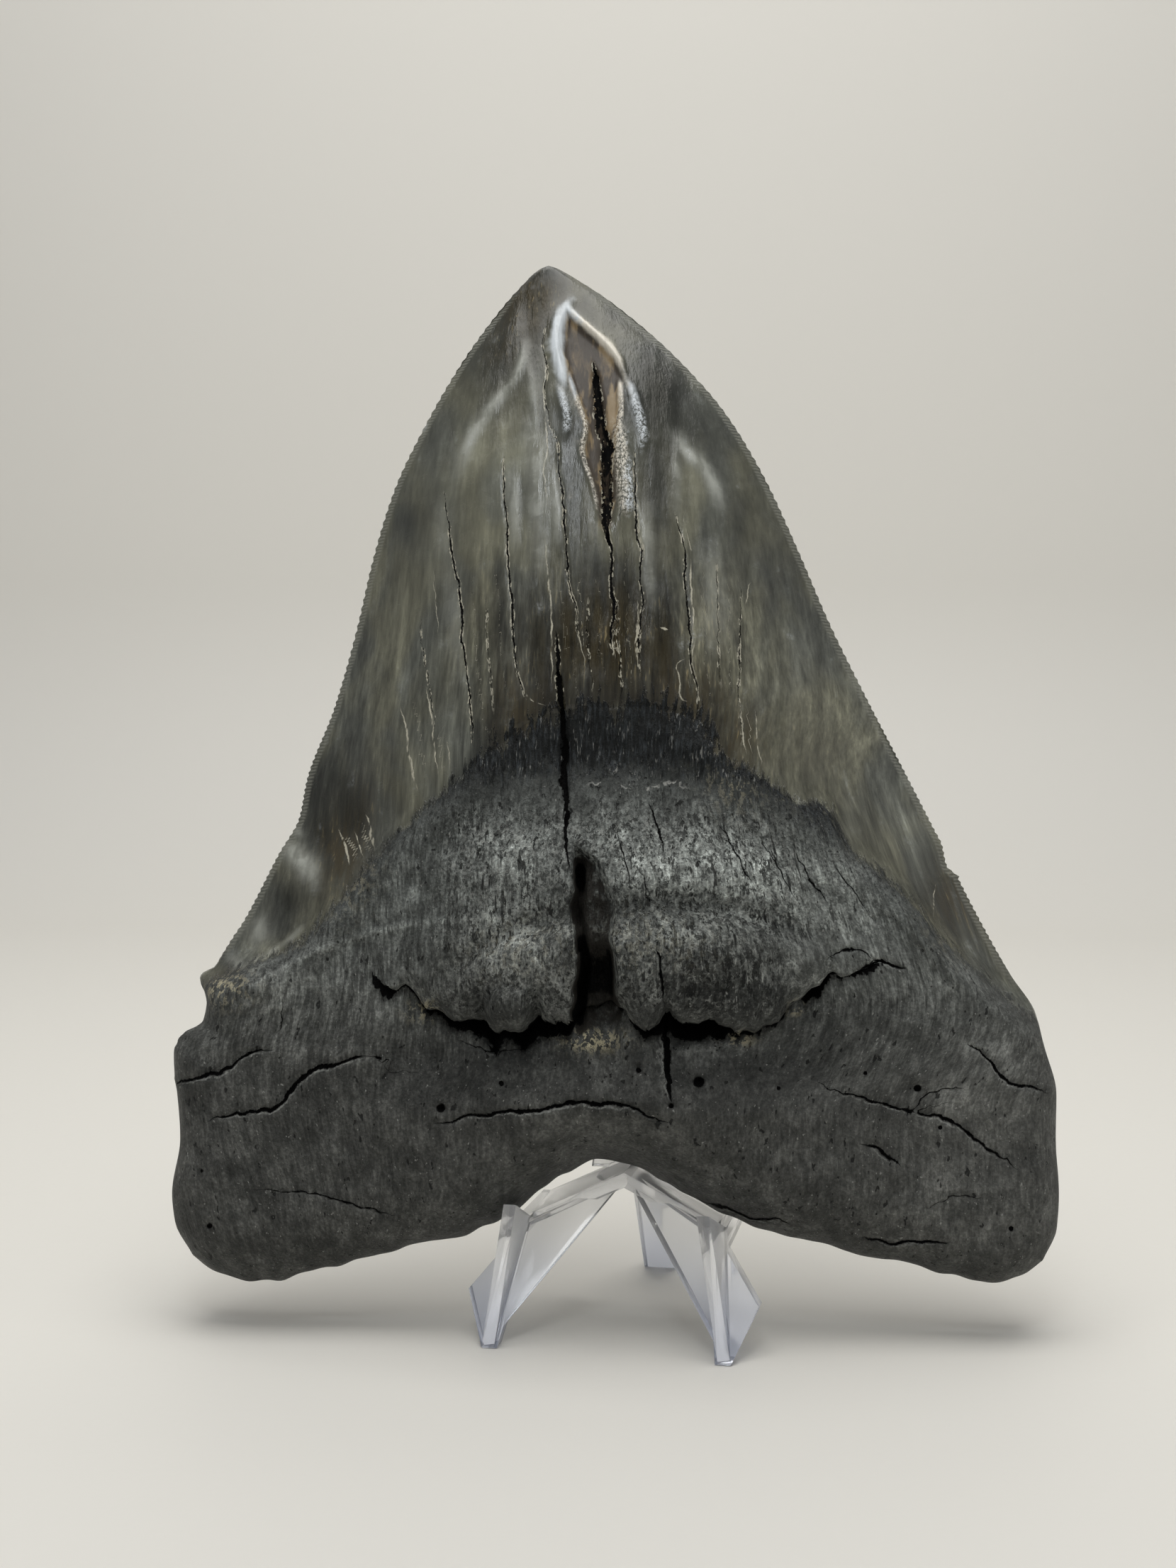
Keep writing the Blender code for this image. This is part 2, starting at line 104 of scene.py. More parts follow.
tooth = {
    "sharpAngle": radians(62),    # between faces, past which an edge is left sharp
    "lean": radians(12),          # of the blade's plane, back on the stand
    "lobeClearance": 6.5,         # lowest point of the lobes above the floor
    "bladeY": -9.8,               # of the plane at the lobes
    "tip": (-10.6, 152.8),
    "columns": 244, "rows": 319,  # of the front, even and odd; the back has half as many
    "grooveColumn": 0.485, "lipRow": 0.235,    # shares of the way across and up
    "serration": 0.11,            # of the cutting edges, half its depth
    "chipFade": 5, "serrationFade": 0.5,       # how far inwards the rim's chips and teeth die away
    "leftEdge": [(-60.1, 3.3), (-62.9, 8), (-63.5, 12.6), (-62.6, 19.5), (-63.3, 26.5), (-64.1, 30.5),
                 (-63.6, 33.6), (-60.8, 35.6), (-60.2, 40.5), (-59.6, 44), (-54.6, 51.5), (-49.5, 61.8),
                 (-46.6, 67.2), (-45.6, 73), (-41.8, 83.8), (-38.8, 95.5), (-36.6, 106.3), (-33.6, 117.2),
                 (-28.8, 128), (-23, 138.4), (-17.2, 146.6), (-13.9, 150.4), (-12.4, 151.9), (-10.6, 152.8)],
    "rightEdge": [(61.7, 4.4), (63.8, 9), (64.2, 14.3), (63.9, 21), (64.1, 28), (62.6, 34.2), (61.3, 39.5),
                  (57.9, 44.8), (52.6, 54.6), (47.5, 65.2), (42.3, 75.7), (37, 86.3), (32, 96.8),
                  (27.4, 107.9), (22.5, 118.9), (16.4, 129.3), (8.6, 138.4), (-1, 146.9), (-7, 151),
                  (-8.8, 152.1), (-10.6, 152.8)],
    "bottomEdge": [(-60.1, 3.3), (-57.4, 1.4), (-53.5, 0.1), (-49.6, -0.2), (-44.4, 0.9), (-36.8, 2.6),
                   (-29.1, 4.9), (-21.4, 6.7), (-16.3, 8.6), (-11.2, 12.3), (-6.1, 15.7), (-1.6, 17.6),
                   (2.5, 17.1), (6.7, 15.4), (14.4, 11.3), (22, 8.2), (32.1, 5.9), (42.2, 3.8), (49.7, 1.9),
                   (54.7, 1.1), (58.2, 1.9), (61.7, 4.4)],
    # broken places of the rim, v and x of what is left of it
    "leftChips": [(29, -63.8), (32.5, -64), (34.4, -63.5), (35.6, -62.3), (36.4, -60.7), (37.2, -59.8),
                  (39.6, -59.4), (41.4, -59.9), (42.4, -60.5), (43.4, -60.7), (44.2, -60.2), (45, -58.6),
                  (46.5, -57.7), (50, -55.6)],
    "rightChips": [(59, 50.7), (60.6, 48.9), (63.8, 48.2), (66, 47.1)],
    # lower edge of the enamel on the front and the back
    "border": [(-66, 39.5), (-57.8, 42.9), (-55.3, 43.9), (-44.7, 48), (-38.5, 54.4), (-32.4, 61.7),
               (-24.6, 68.7), (-18.2, 74.5), (-12.1, 78.7), (-6, 80.8), (3.3, 81.8), (12.6, 79.8),
               (15.7, 75.4), (21.9, 71.6), (25.1, 69), (31.2, 67.4), (34.2, 61.8), (39.5, 57.9),
               (43.6, 53.8), (50.1, 46.9), (60.3, 38.7), (66, 35)],
    "backBorder": [(-66, 40), (-58, 43.5), (-45, 46), (-30, 53), (-15, 59.5), (0, 61.5), (15, 59), (30, 52),
                   (45, 44.5), (60, 39), (66, 36)],
    "bandFoot": [(-66, 39), (-45, 47), (-38.5, 52.8), (-32.4, 59.6), (-27.2, 65.6), (-17, 69), (-5.8, 70.3),
                 (6.5, 70.3), (14.7, 70), (21.8, 67.6), (27, 65), (34.2, 60.2), (43.6, 52.4), (60.3, 38),
                 (66, 34.5)],
    "lip": [(-34, 44.5), (-30.5, 41.6), (-29.2, 42.4), (-27.6, 41.2), (-26, 39), (-24, 38.3), (-22.6, 37.3),
            (-20.6, 36.7), (-18.4, 37.1), (-17.2, 37.3), (-16.3, 36.2), (-14.9, 35.5), (-13.2, 35.3),
            (-11.6, 35.8), (-10.5, 37), (-9.6, 37.9), (-8.7, 37.2), (-7.2, 36.7), (-5.4, 36.8), (-4.2, 37.8),
            (-2.8, 39.4), (0.4, 39.8), (2.2, 39), (3.2, 37.4), (4.4, 36.4), (5.7, 35.9), (6.9, 36.4),
            (7.9, 37.9), (8.6, 38.5), (9.3, 37.4), (11.6, 37.2), (14, 37.3), (16.6, 36.5), (18.6, 35.9),
            (20.6, 36), (22.2, 36.9), (24.2, 37.5), (25.6, 39.4), (27.2, 40.9), (28.6, 41.8), (30, 42.6),
            (31.6, 44.4), (33.4, 43.7), (35.2, 44.6), (39, 46)],
    # how far the painted shadow in the hollow under the lip reaches down
    "hollow": [(-34.4, 1), (-32.5, 1.9), (-31, 1.5), (-29.6, 0.5), (-27.4, 0.3), (-25.8, 0.7), (-24, 1),
               (-20, 1.5), (-18, 2.6), (-15.8, 2.4), (-13.4, 1.3), (-11, 2.9), (-9, 2.7), (-7, 1.9),
               (-5.6, 2), (-4.2, 0.8), (-2.5, 0.3), (3, 0.3), (5, 0.9), (6.8, 1.2), (8.4, 2.9), (11, 2.6),
               (14, 2.6), (16.2, 2), (17.4, 0.8), (20, 0.5), (24.6, 0.5), (26.2, -0.3), (27.2, 0.1),
               (28.2, 1.9), (29.6, 1.7), (31.4, 0.9), (33.2, 0.1), (34.6, 0.8), (36.2, 1.2), (38.5, 0.5)],
    "groove": [(21, 5.5), (38, -0.6), (48.5, -1.2), (57, -2.6), (62, -4.2), (80, -6.5)],
    "gapLeft": [(30, -4.6), (39.1, -4.6), (43.1, -4.2), (47.5, -3.9), (52, -4.5), (56.5, -4.7), (60.7, -4.9),
                (64, -5.2)],
    "gapRight": [(30, 3), (38.7, 2.5), (40.9, 1.5), (44, 1.1), (48.5, 0.9), (53, 0.6), (57, -0.4),
                 (59.3, -1.6), (60.6, -3.6), (64, -4.8)],
    "crownFront": [(40, 16.5), (60, 15.5), (80, 14.2), (100, 11.8), (120, 8.8), (140, 4.6), (153, 0.9)],
    "crownBack": [(30, 8.6), (60, 7.2), (100, 5.6), (130, 3.6), (153, 0.8)],
    # bare dentine round the split under the tip
    "bare": [(-7.4, 143.6), (-8.2, 141), (-8.2, 137.4), (-7.4, 133.8), (-6.2, 130.4), (-5.1, 127.2),
             (-4.2, 123.8), (-4.5, 120.6), (-3.9, 118), (-3, 115.4), (-2.3, 112.6), (-1.4, 108.6),
             (-0.1, 108.6), (0.5, 112.4), (0.6, 117.4), (0.4, 121.4), (0.9, 125.4), (1.2, 128.4), (1, 131.4),
             (1.2, 133.4), (0.6, 135.4), (-1, 137.8), (-2.8, 139.8), (-5, 141.8), (-6.4, 143)],
}

# each crack is its greatest half width and the x, v of the points that it runs through
crownCracks = [
    (0.85, [(-3.1, 136), (-2.5, 132.6), (-2.5, 130), (-2.1, 127.2), (-1.7, 124.6), (-1.2, 122), (-1, 119),
            (-0.8, 115.2), (-0.6, 112), (-0.4, 109), (0, 104)]),
    (0.2, [(-0.3, 109), (0, 104), (0.1, 98.5), (0.3, 93), (0.4, 89)]),
    (0.07, [(-10.8, 143), (-10.7, 136), (-10.3, 130), (-9.7, 125.6), (-9, 122.6)]),
    (0.12, [(-9.5, 125), (-8.4, 121), (-7.6, 115.4), (-7.1, 110), (-6.6, 105), (-6, 100.4), (-5.2, 96),
            (-4.2, 91.4)]),
    (0.44, [(-7.6, 93), (-7.3, 88.6), (-7, 84), (-6.6, 78.4), (-6.4, 73.4), (-6.1, 68.6), (-5.6, 64),
            (-5.1, 58)]),
    (0.13, [(2.9, 121.6), (3.4, 115), (3.8, 108), (4.4, 99), (4.2, 92), (4.4, 86)]),
    (0.13, [(9.6, 112), (9.9, 108.2), (11, 96.4), (12.1, 85.8), (12.4, 80)]),
    (0.15, [(-16.6, 121), (-16.2, 114.8), (-15.4, 106), (-14.7, 99), (-13.6, 90), (-12.6, 85.6),
            (-11.6, 82.6)]),
    (0.15, [(-25.6, 116), (-24.4, 109), (-23.4, 103.6), (-22.2, 97), (-21.4, 91), (-20.8, 86), (-19.8, 79.4),
            (-19, 74.6)]),
    (0.06, [(18.8, 102), (18.6, 90), (18.8, 75.3)]),
    (0.05, [(15.2, 106), (15.4, 94), (16, 84)]),
    (0.05, [(-18.8, 100), (-17.6, 90), (-16.6, 80)]),
    (0.05, [(-28.6, 97), (-26.8, 86), (-25.4, 78)]),
    (0.06, [(0.9, 97), (1.4, 88), (1.2, 82)]),
    (0.05, [(-3.6, 99), (-3, 90), (-2.6, 83)]),
]
threads = [                        # pale, mineral-filled lines in the enamel
    (0.19, [(-31, 82.8), (-29.8, 78), (-28.8, 73.6), (-27.6, 69.6)]),
    (0.15, [(-27.2, 85.6), (-26.2, 80.6), (-25, 75), (-24.4, 72)]),
    (0.19, [(-40, 65), (-38.9, 62.8), (-38.1, 60.6), (-37.8, 59.4)]),
    (0.2, [(-35.8, 67), (-35, 64.6), (-34.4, 62.6), (-33.9, 60.6)]),
    (0.12, [(-37.4, 64.6), (-36.4, 62), (-35.8, 60.4)]),
    (0.08, [(-23.4, 77.6), (-22.8, 74.6), (-22.6, 72.4)]),
    (0.11, [(-16.6, 120), (-16.4, 116), (-15.8, 111), (-15.4, 104), (-14.9, 98), (-14.2, 92)]),
    (0.12, [(-12.8, 86.8), (-12, 84.2), (-10.8, 82.6), (-9, 81.8)]),
    (0.1, [(-11, 136), (-10.5, 130.6), (-10.2, 124), (-10, 117), (-9.8, 110)]),
    (0.13, [(-9.8, 108), (-9.3, 103), (-9, 99), (-8.5, 94.4), (-8.2, 90), (-7.9, 84.6)]),
    (0.13, [(-7, 107), (-6.4, 103.4), (-5.8, 99.6), (-5.1, 95.6), (-4.1, 91), (-3.4, 87)]),
    (0.11, [(0.4, 97), (0.4, 92), (0.7, 88.4)]),
    (0.13, [(3.7, 98), (3.9, 94), (3.9, 90), (4.3, 87)]),
    (0.14, [(7.2, 93.5), (8.4, 93.2)]),
    (0.12, [(11.1, 89), (9.9, 88.2), (9.8, 86), (9.6, 83.4), (10.6, 82.6), (11.8, 83.2)]),
    (0.12, [(3.4, 117), (4.2, 108), (4.6, 103)]),
    (0.12, [(10.6, 112), (11.2, 104), (11.7, 97), (12, 91), (12.4, 85)]),
    (0.07, [(15.2, 106), (15.4, 98), (15.6, 90)]),
    (0.13, [(18.6, 84), (18.9, 79), (19.3, 74.6)]),
    (0.11, [(20.8, 82), (21, 77), (21.8, 73)]),
    (0.1, [(20.4, 101.6), (19.8, 100.6), (19.6, 97.6)]),
    (0.07, [(-26.6, 104), (-26.2, 98), (-25.2, 93)]),
    (0.1, [(47, 57.8), (46.2, 55), (46.6, 52.4)]),
]
sheenRidges = [                         # ridges of the crown, each with a painted highlight along it: width, height, x and v along each
    (0.8, 1.2, [(-13.6, 139), (-13.9, 136), (-15.2, 132.8), (-17.4, 130.2)]),
    (1, 1.2, [(-15.4, 132.4), (-17.6, 129.6), (-20, 126.2), (-21.8, 122.8), (-23, 118.6)]),
    (0.6, 0.6, [(-13.4, 137), (-12.2, 130), (-11.4, 124)]),
    (1.3, 1, [(-12.6, 125), (-11.4, 118), (-10.8, 110), (-10.6, 103)]),
    (0.7, 0.9, [(-8.6, 118), (-8.2, 112), (-7.8, 106)]),
    (0.9, 0.8, [(-15, 118), (-14.4, 112), (-14, 106)]),
    (1, 1.3, [(9.4, 124), (10.4, 121.6), (12.6, 119.8), (14.6, 117), (15.8, 113.6)]),
    (0.7, 0.7, [(9.2, 123.6), (9.3, 117), (9.3, 111)]),
    (1, 0.7, [(4.8, 112), (5.4, 104), (5.6, 97)]),
    (1.2, 0.35, [(-26, 114), (-23.6, 100), (-22, 88)]),
    (2, 0.45, [(14.6, 106), (15, 98), (15.4, 91)]),
    (1.4, 1.4, [(-48.8, 62.8), (-47, 61.8), (-45, 60), (-43.2, 57.4)]),
    (0.7, 0.8, [(-47.4, 65.4), (-46.2, 64.4)]),
    (1.8, 0.7, [(-53.2, 52), (-51.8, 50.2), (-51.2, 48.4)]),
    (0.9, 0.6, [(-56.4, 46.6), (-54.4, 45.2), (-52.4, 45.2)]),
    (0.5, 0.6, [(-53.6, 44.8), (-50, 46.4), (-46.6, 48.6), (-44.6, 50.6)]),
]
shines = [                         # bright lines round the worn place: slightly raised, with a painted highlight along them
    (0.95, 1.15, [(-7, 146.4), (-8, 144.8), (-8.7, 142), (-8.8, 138.2), (-8.2, 134.8), (-7.5, 131.6)]),
    (0.65, 1.15, [(-8.2, 145.6), (-6.4, 143.7), (-4, 141.3), (-2, 139.3), (-0.2, 137.3), (0.8, 135.2),
                  (1.5, 132.6)]),
    (0.75, 0.85, [(1.6, 133), (2.7, 130.6), (3.3, 128.4), (4, 125.6), (4.3, 123.4), (3.8, 121)]),
    (0.46, 1, [(0.5, 133), (0.9, 130.4), (1, 128), (0.8, 125.6), (0.4, 122.6)]),
    (1.2, 1.1, [(0.8, 125.4), (1.2, 120.4), (1.6, 117), (2, 113.8), (1.8, 110.4)]),
    (0.36, 0.95, [(-5.8, 130.6), (-4.8, 127.2), (-4.1, 124.4), (-4.6, 121.4), (-4.2, 119.2), (-3.4, 116.8),
                  (-2.7, 114.4), (-2.2, 111.6)]),
    (0.75, 0.85, [(-8.4, 131.6), (-7.4, 128.4), (-6.9, 125.6), (-7.3, 123.4)]),
    (0.45, 0.75, [(-7, 134), (-6, 130.6), (-5, 127.4)]),
]
furrows = [                        # darker bands down the crown
    (1.3, 0.9, [(-11.2, 104), (-10.7, 95), (-10.2, 88), (-10, 83)]),
    (1.1, 1.1, [(-6.6, 99), (-6, 92), (-5.2, 85)]),
    (1.3, 1.2, [(1.7, 105), (1.9, 95), (2, 84)]),
    (1.5, 1.2, [(7.4, 101), (7.6, 92), (7.2, 84)]),
    (0.8, 0.8, [(-2.2, 104), (-2, 96), (-1.6, 88)]),
    (0.9, 0.7, [(-16.8, 106), (-16.4, 99), (-15.6, 91)]),
    (1.4, 0.6, [(5.8, 122), (6.4, 114), (6.4, 106)]),
    (1.5, 0.7, [(-6.6, 121), (-5.8, 114), (-5, 107)]),
    (1, 0.5, [(13.6, 112), (13.6, 104), (13.4, 96)]),
    (1.6, 0.8, [(-49.4, 57.6), (-47.6, 55), (-46, 51.8)]),
    (1.5, 0.8, [(-43.6, 66), (-41.4, 61.6), (-40.4, 57)]),
    (0.5, 0.7, [(-57.8, 47), (-56.2, 45.8), (-54.4, 44.6)]),
]
rootCracks = [
    (0.3, [(-24.5, 22.7), (-21.3, 22.9), (-19.5, 23.8), (-15.4, 24.4), (-11.7, 24.7), (-7.2, 25.1),
           (-4, 25.8), (-0.8, 25.5), (3.7, 25.4), (6, 24.1), (9.2, 23.1)]),
    (0.2, [(7, 48.5), (7.5, 44), (8, 39)]),
    (0.52, [(8.2, 37.4), (8.3, 34.4), (8.5, 31), (8.9, 28), (9.2, 26)]),
    (0.34, [(-57.6, 22.6), (-56, 23.2), (-52.1, 24), (-47.2, 24.8), (-45.1, 27.2), (-42.7, 29.4),
            (-39.1, 30.8), (-35.5, 32), (-33, 32.2), (-30.3, 31.5)]),
    (0.3, [(-63.6, 27.4), (-61.8, 28.2), (-57.2, 29.3), (-53.7, 30.6), (-50.9, 32.4), (-48, 33)]),
    (0.14, [(-50.5, 13.3), (-42.2, 12.7), (-33.9, 10.8), (-28.8, 9.6)]),
    (0.24, [(29, 29.2), (34.1, 27.1), (39.5, 25.7), (44, 24.7), (48.9, 23.3), (53.7, 20), (58, 17)]),
    (0.22, [(35.1, 20.7), (37.5, 19.8), (39.5, 18.2), (41, 17.4)]),
    (0.26, [(50.6, 35), (53.2, 32.7), (56.5, 29.5), (62.5, 28)]),
    (0.24, [(13, 12.6), (14.9, 11.9), (18.3, 10.7), (22, 10.1), (26, 9.2)]),
    (0.24, [(36, 7.6), (40, 6.6), (45, 7.4), (48, 7)]),
    (0.18, [(5.8, 67.6), (7.4, 63.4), (8, 60.4)]),
    (0.14, [(1.4, 64), (2.6, 59), (3.2, 55)]),
    (0.13, [(5, 58), (5.8, 53)]),
    (0.15, [(15.6, 65), (18.2, 60.4), (20.2, 56)]),
    (0.12, [(25.6, 62), (28.6, 57.4), (31.4, 53.4)]),
    (0.12, [(21, 63.6), (24, 58.6), (26.6, 53.8)]),
    (0.11, [(31, 60), (34.6, 55.4), (37.6, 51.6)]),
    (0.24, [(35, 44.4), (38.4, 46), (42, 44.6)]),
    (0.14, [(31, 46), (33, 47.6), (36, 47.4), (37.6, 45.8)]),
    (0.1, [(-46.5, 40.6), (-46.8, 37.6), (-47.4, 35)]),
    (0.12, [(42, 24.8), (44.8, 27.6), (47.4, 28.6), (50, 28.2)]),
    (0.1, [(-22, 34.6), (-16, 33), (-11, 33.4)]),
    (0.08, [(44, 12), (48, 13.4), (53, 13.6)]),
    (0.06, [(-35.6, 32.2), (-33.2, 32.2), (-31.8, 30.8), (-30.6, 29.5), (-28.2, 29.9), (-25.6, 29.2)]),
    (0.34, [(-16.4, 34.2), (-15.8, 33.2), (-15.4, 32.2)]),
]
seams = [                          # lighter raised lines of the root
    (0.45, 1, [(-50, 42.6), (-45, 45.4), (-39, 48), (-33, 49.8), (-26, 51), (-19, 51.2)]),
    (0.4, 0.8, [(-57, 41.6), (-51, 44.4), (-46.6, 46.6), (-43.6, 49.6), (-40.6, 53.4)]),
    (0.35, 0.7, [(-56, 17.6), (-54.4, 14.6), (-52.6, 13.2)]),
    (0.35, 0.6, [(-51, 12.6), (-51.6, 9), (-52, 6.6)]),
    (0.45, 0.6, [(9, 32.8), (12.6, 33), (16, 32.4), (19, 32.8)]),
    (0.4, 0.6, [(34.4, 40), (38, 38.4), (44, 37.4), (50, 34.8)]),
]
backCracks = [
    (0.14, [(-12, 134), (-9, 115), (-6.5, 95), (-5, 78), (-4, 64)]),
    (0.12, [(4, 112), (6, 98), (7, 84), (9, 68)]),
    (0.1, [(-24, 104), (-21.5, 90), (-20, 76), (-19, 62)]),
    (0.08, [(20, 96), (21, 84), (23, 70)]),
]
backRootCracks = [
    (0.34, [(-60, 24), (-50, 25.6), (-42, 29), (-33, 30)]),
    (0.24, [(-18, 27), (-8, 29), (3, 28), (12, 30)]),
    (0.28, [(26, 22), (36, 24), (46, 21), (57, 19)]),
    (0.18, [(6, 57), (5, 48), (6.4, 40)]),
    (0.18, [(-30, 50), (-29, 43), (-31, 36)]),
]
pits = [(-23.2, 24.9, 0.62), (9.1, 25.6, 0.35), (12.9, 28.9, 0.72), (-56.5, 7.9, 0.42), (-57.8, 15.6, 0.3),
        (43.4, 28.4, 0.5), (4.6, 30.4, 0.4), (-14.6, 28.4, 0.35), (46.6, 23, 0.3), (56.4, 9.2, 0.4),
        (24, 28.2, 0.3), (36.2, 30.4, 0.22)]

# tone of the enamel, partly its own and partly painted highlights, reflections and shade: x, v, reach across,
# reach up, how many stops lighter or darker
toneAndPaintedLightSpots = [(30, 85, 7, 8, 0.2), (-13, 147, 5, 4, -1.6), (-11, 150, 5, 2.5, -0.6), (-18, 138, 4.5, 6, -1.5),
             (-12.2, 141, 1.7, 5, -1.3), (6.5, 132, 4, 9, -1.7), (1, 144, 4, 3, -0.3), (12, 125, 5, 4, -0.7),
             (7, 117, 2.6, 7, -0.8), (-5.5, 124, 1.4, 2.5, -0.9), (18, 112, 4, 9, -0.4),
             (25, 104, 4, 7, -0.7), (31, 96, 3, 5, -0.6), (-31, 111, 4, 5, -0.8), (-13, 120, 4, 5, 0.9),
             (-22, 119, 4, 5, 0.6), (-16, 106, 7, 8, 0.45), (0, 121, 4, 4, 0.5), (12, 116, 3, 6, 0.9),
             (-17, 121, 4, 6, 0.5), (-24, 105, 5, 6, 0.35), (12, 103, 3.5, 6, 0.35), (-1, 91, 11, 7.5, -2.2),
             (0, 101, 7, 5, -0.4), (24, 88, 5, 8, 0.5), (-31, 92, 5, 8, 0.45), (-43, 71, 6, 8, -1.5),
             (-37, 72, 4, 9, -0.4), (-24, 75, 4, 5, 0.5), (-48, 55, 4, 4, -0.9), (-43, 56, 3, 3, -0.5),
             (36, 67, 4, 5, -0.3), (36, 80, 4, 6, 0.5), (47, 56, 4, 4, -0.5), (54, 47, 4, 4, -0.3),
             (-52, 47, 3, 2.5, 0.5), (-59.5, 43.6, 1.5, 1.5, 1.2), (42, 67, 3, 5, 0.5), (14, 96, 4, 6, 0.5),
             (-48, 50.5, 2.6, 2.2, -0.9), (-37, 66, 3, 4, -0.9), (-42, 65, 3, 3, -0.5),
             (-55, 45.5, 2.5, 1.8, -0.6), (-44, 53, 3, 3, -0.4), (0, 106, 3, 4, 0.5), (-43, 59, 2, 3, 0.4),
             (-7, 136, 3, 5, 0.3)]
warmSpots = [(-13, 146, 5, 5, 0.95), (-17, 139, 4, 4, 0.4), (-14, 82, 4, 5, 1), (11, 84, 5, 5, 0.8),
             (-1, 92, 11, 9, 0.85), (15, 95, 3, 5, 0.35), (18, 77, 4, 7, 0.9), (-39, 61, 4, 6, 1),
             (50, 56, 4, 6, 0.9), (-56, 42, 4, 2.5, 0.9), (-35, 70, 4, 5, 0.3), (29, 78, 6, 8, 0.25),
             (-20, 100, 5, 10, 0.2), (-1.8, 34.6, 3.4, 1.3, 1.7), (-26.5, 38.6, 2, 1.4, 0.9),
             (18.4, 35, 1.8, 0.8, 1.3), (26.6, 39.4, 1, 0.8, 1.2), (-12, 47, 7, 4, 0.22),
             (6, 48, 8, 4, 0.18)]
# paler and darker stretches of the root, partly its own tone and partly painted light on the boss's raised
# tops and painted shade in its crease and low down
rootToneAndPaintedLightSpots = [(12, 60, 13, 5.5, 1.6), (3, 56, 7, 2.5, 0.9), (30, 41, 4, 3, 1), (47, 40, 5, 4, 0.5),
             (-14, 60, 7, 5.5, 1.4), (-3, 64, 10, 3, 0.6), (23, 55, 9, 5, 1), (-31, 54, 9, 9, 0.9),
             (-13, 52, 8, 6, 0.7), (9, 49.5, 9, 3.4, 1), (-12, 46, 6, 4, 1.6), (-14, 38.5, 3, 2, -0.6),
             (6, 44.5, 3, 3, 0.9), (22, 45.5, 5, 3, 0.8), (-2, 53, 5, 2.5, -0.4), (10, 53, 9, 1.3, -1),
             (14, 55.6, 8, 2, 0.5), (34, 47, 7, 5, 1.7), (33, 56, 8, 5, 1.05), (24, 60, 6, 5, 0.5),
             (47, 43, 5, 5, 1), (-42, 43, 6, 5, 0.9), (-48, 40, 5, 4, 1.3), (-30, 40, 5, 4, 1.2),
             (-21, 34, 5, 3, 0.3), (16, 34, 6, 2, 0.9), (54, 32, 6, 6, 0.8), (48, 26, 5, 4, 0.6),
             (0, 38, 3, 3, 0.8), (-21, 28, 7, 5, -1), (8, 30, 4, 4, -0.6), (21, 29, 6, 4, -0.8),
             (36, 26, 4, 3, -0.5), (-20, 19, 6, 5, 0.3), (45, 12, 8, 6, 0.35), (-42, 10, 5, 4, 0.3),
             (-50, 4, 14, 3, -0.5), (-43, 20, 9, 8, -0.5), (52, 18, 12, 14, 0.55), (20, 18, 7, 6, 0.2),
             (55, 38, 5, 5, 0.4), (50, 4, 12, 2.5, -0.5), (17, 41, 8, 3, -0.7), (-60, 28, 4, 8, -0.4)]


def bladeGrid(columns, rows):
    # Coons patch: s runs from the left edge to the right one and t from the root's
    # bottom to the tip; one row is drawn onto the lip and one column onto the groove
    across = spaced(columns, lambda s: 1 + 1.6 * (hill(s, 0, 0.03) + hill(s, 1, 0.03))
                    + 0.9 * hill(s, tooth["grooveColumn"], 0.05))
    up = spaced(rows, lambda t: 1.3 - 0.45 * ease(0.50, 0.62, t) + 1.2 * hill(t, 0, 0.03)
                + 1.6 * hill(t, tooth["lipRow"], 0.025))[:-1]
    s, t = np.meshgrid(across, up, indexing="ij")
    leftEdge, rightEdge, tip = tooth["leftEdge"], tooth["rightEdge"], tooth["tip"]
    vLeft = leftEdge[0][1] + (tip[1] - leftEdge[0][1]) * t
    vRight = rightEdge[0][1] + (tip[1] - rightEdge[0][1]) * t
    xLeft, xRight = curveAt(swap(leftEdge), vLeft), curveAt(swap(rightEdge), vRight)
    xBottom = leftEdge[0][0] + (rightEdge[0][0] - leftEdge[0][0]) * s
    arch = curveAt(tooth["bottomEdge"], xBottom) - ((1 - s) * vLeft[0, 0] + s * vRight[0, 0])
    x = (1 - s) * xLeft + s * xRight
    v = (1 - s) * vLeft + s * vRight + (1 - t) * arch
    reach = ease(-44, -30, x) * (1 - ease(40, 54, x))
    row = np.argmin(np.abs(up - tooth["lipRow"]))
    pull = (lipAt(x[:, row]) - v[:, row]) * reach[:, row]
    v = v + pull[:, None] * ease(0, up[row], t) * (1 - ease(up[row], 0.5, t))
    column = np.argmin(np.abs(across - tooth["grooveColumn"]))
    pull = ((curveAt(tooth["groove"], v[column]) - x[column]) * ease(18, 30, v[column])
            * (1 - ease(70, 95, v[column])))
    x = x + pull[None, :] * ease(0.25, across[column], s) * (1 - ease(across[column], 0.72, s))

    # chips and serrations move the rim in or out and die away inwards
    plainX, plainV = x, v
    width = xRight - xLeft
    bite = tooth["serration"]
    teeth = np.where(np.arange(len(up)) % 2, bite, -bite)[None, :] * ease(44, 50, v) * ease(153, 148, v)
    chip, fine = tooth["chipFade"], tooth["serrationFade"]
    x = x + chipMove(tooth["leftChips"], vLeft, xLeft) * np.exp(-s * width / chip)
    x = x + chipMove(tooth["rightChips"], vRight, xRight) * np.exp(-(1 - s) * width / chip)
    x = x + teeth * (np.exp(-s * width / fine) - np.exp(-(1 - s) * width / fine))
    rough = 0.35 * softNoise(x, v, 2.6, 4) + 0.25 * softNoise(x, v, 6.0, 5)
    v = v + rough * np.exp(-t * 150 / 4.0) * ease(0, 0.04, s) * ease(1, 0.96, s)
    return x, v, s, rimDistance(plainX, plainV)


def chipMove(chips, v, rimX):
    # from the whole rim to the broken one, between the first and the last v of the chips
    return (curveAt(chips, v) - rimX) * (v > chips[0][0]) * (v < chips[-1][0])


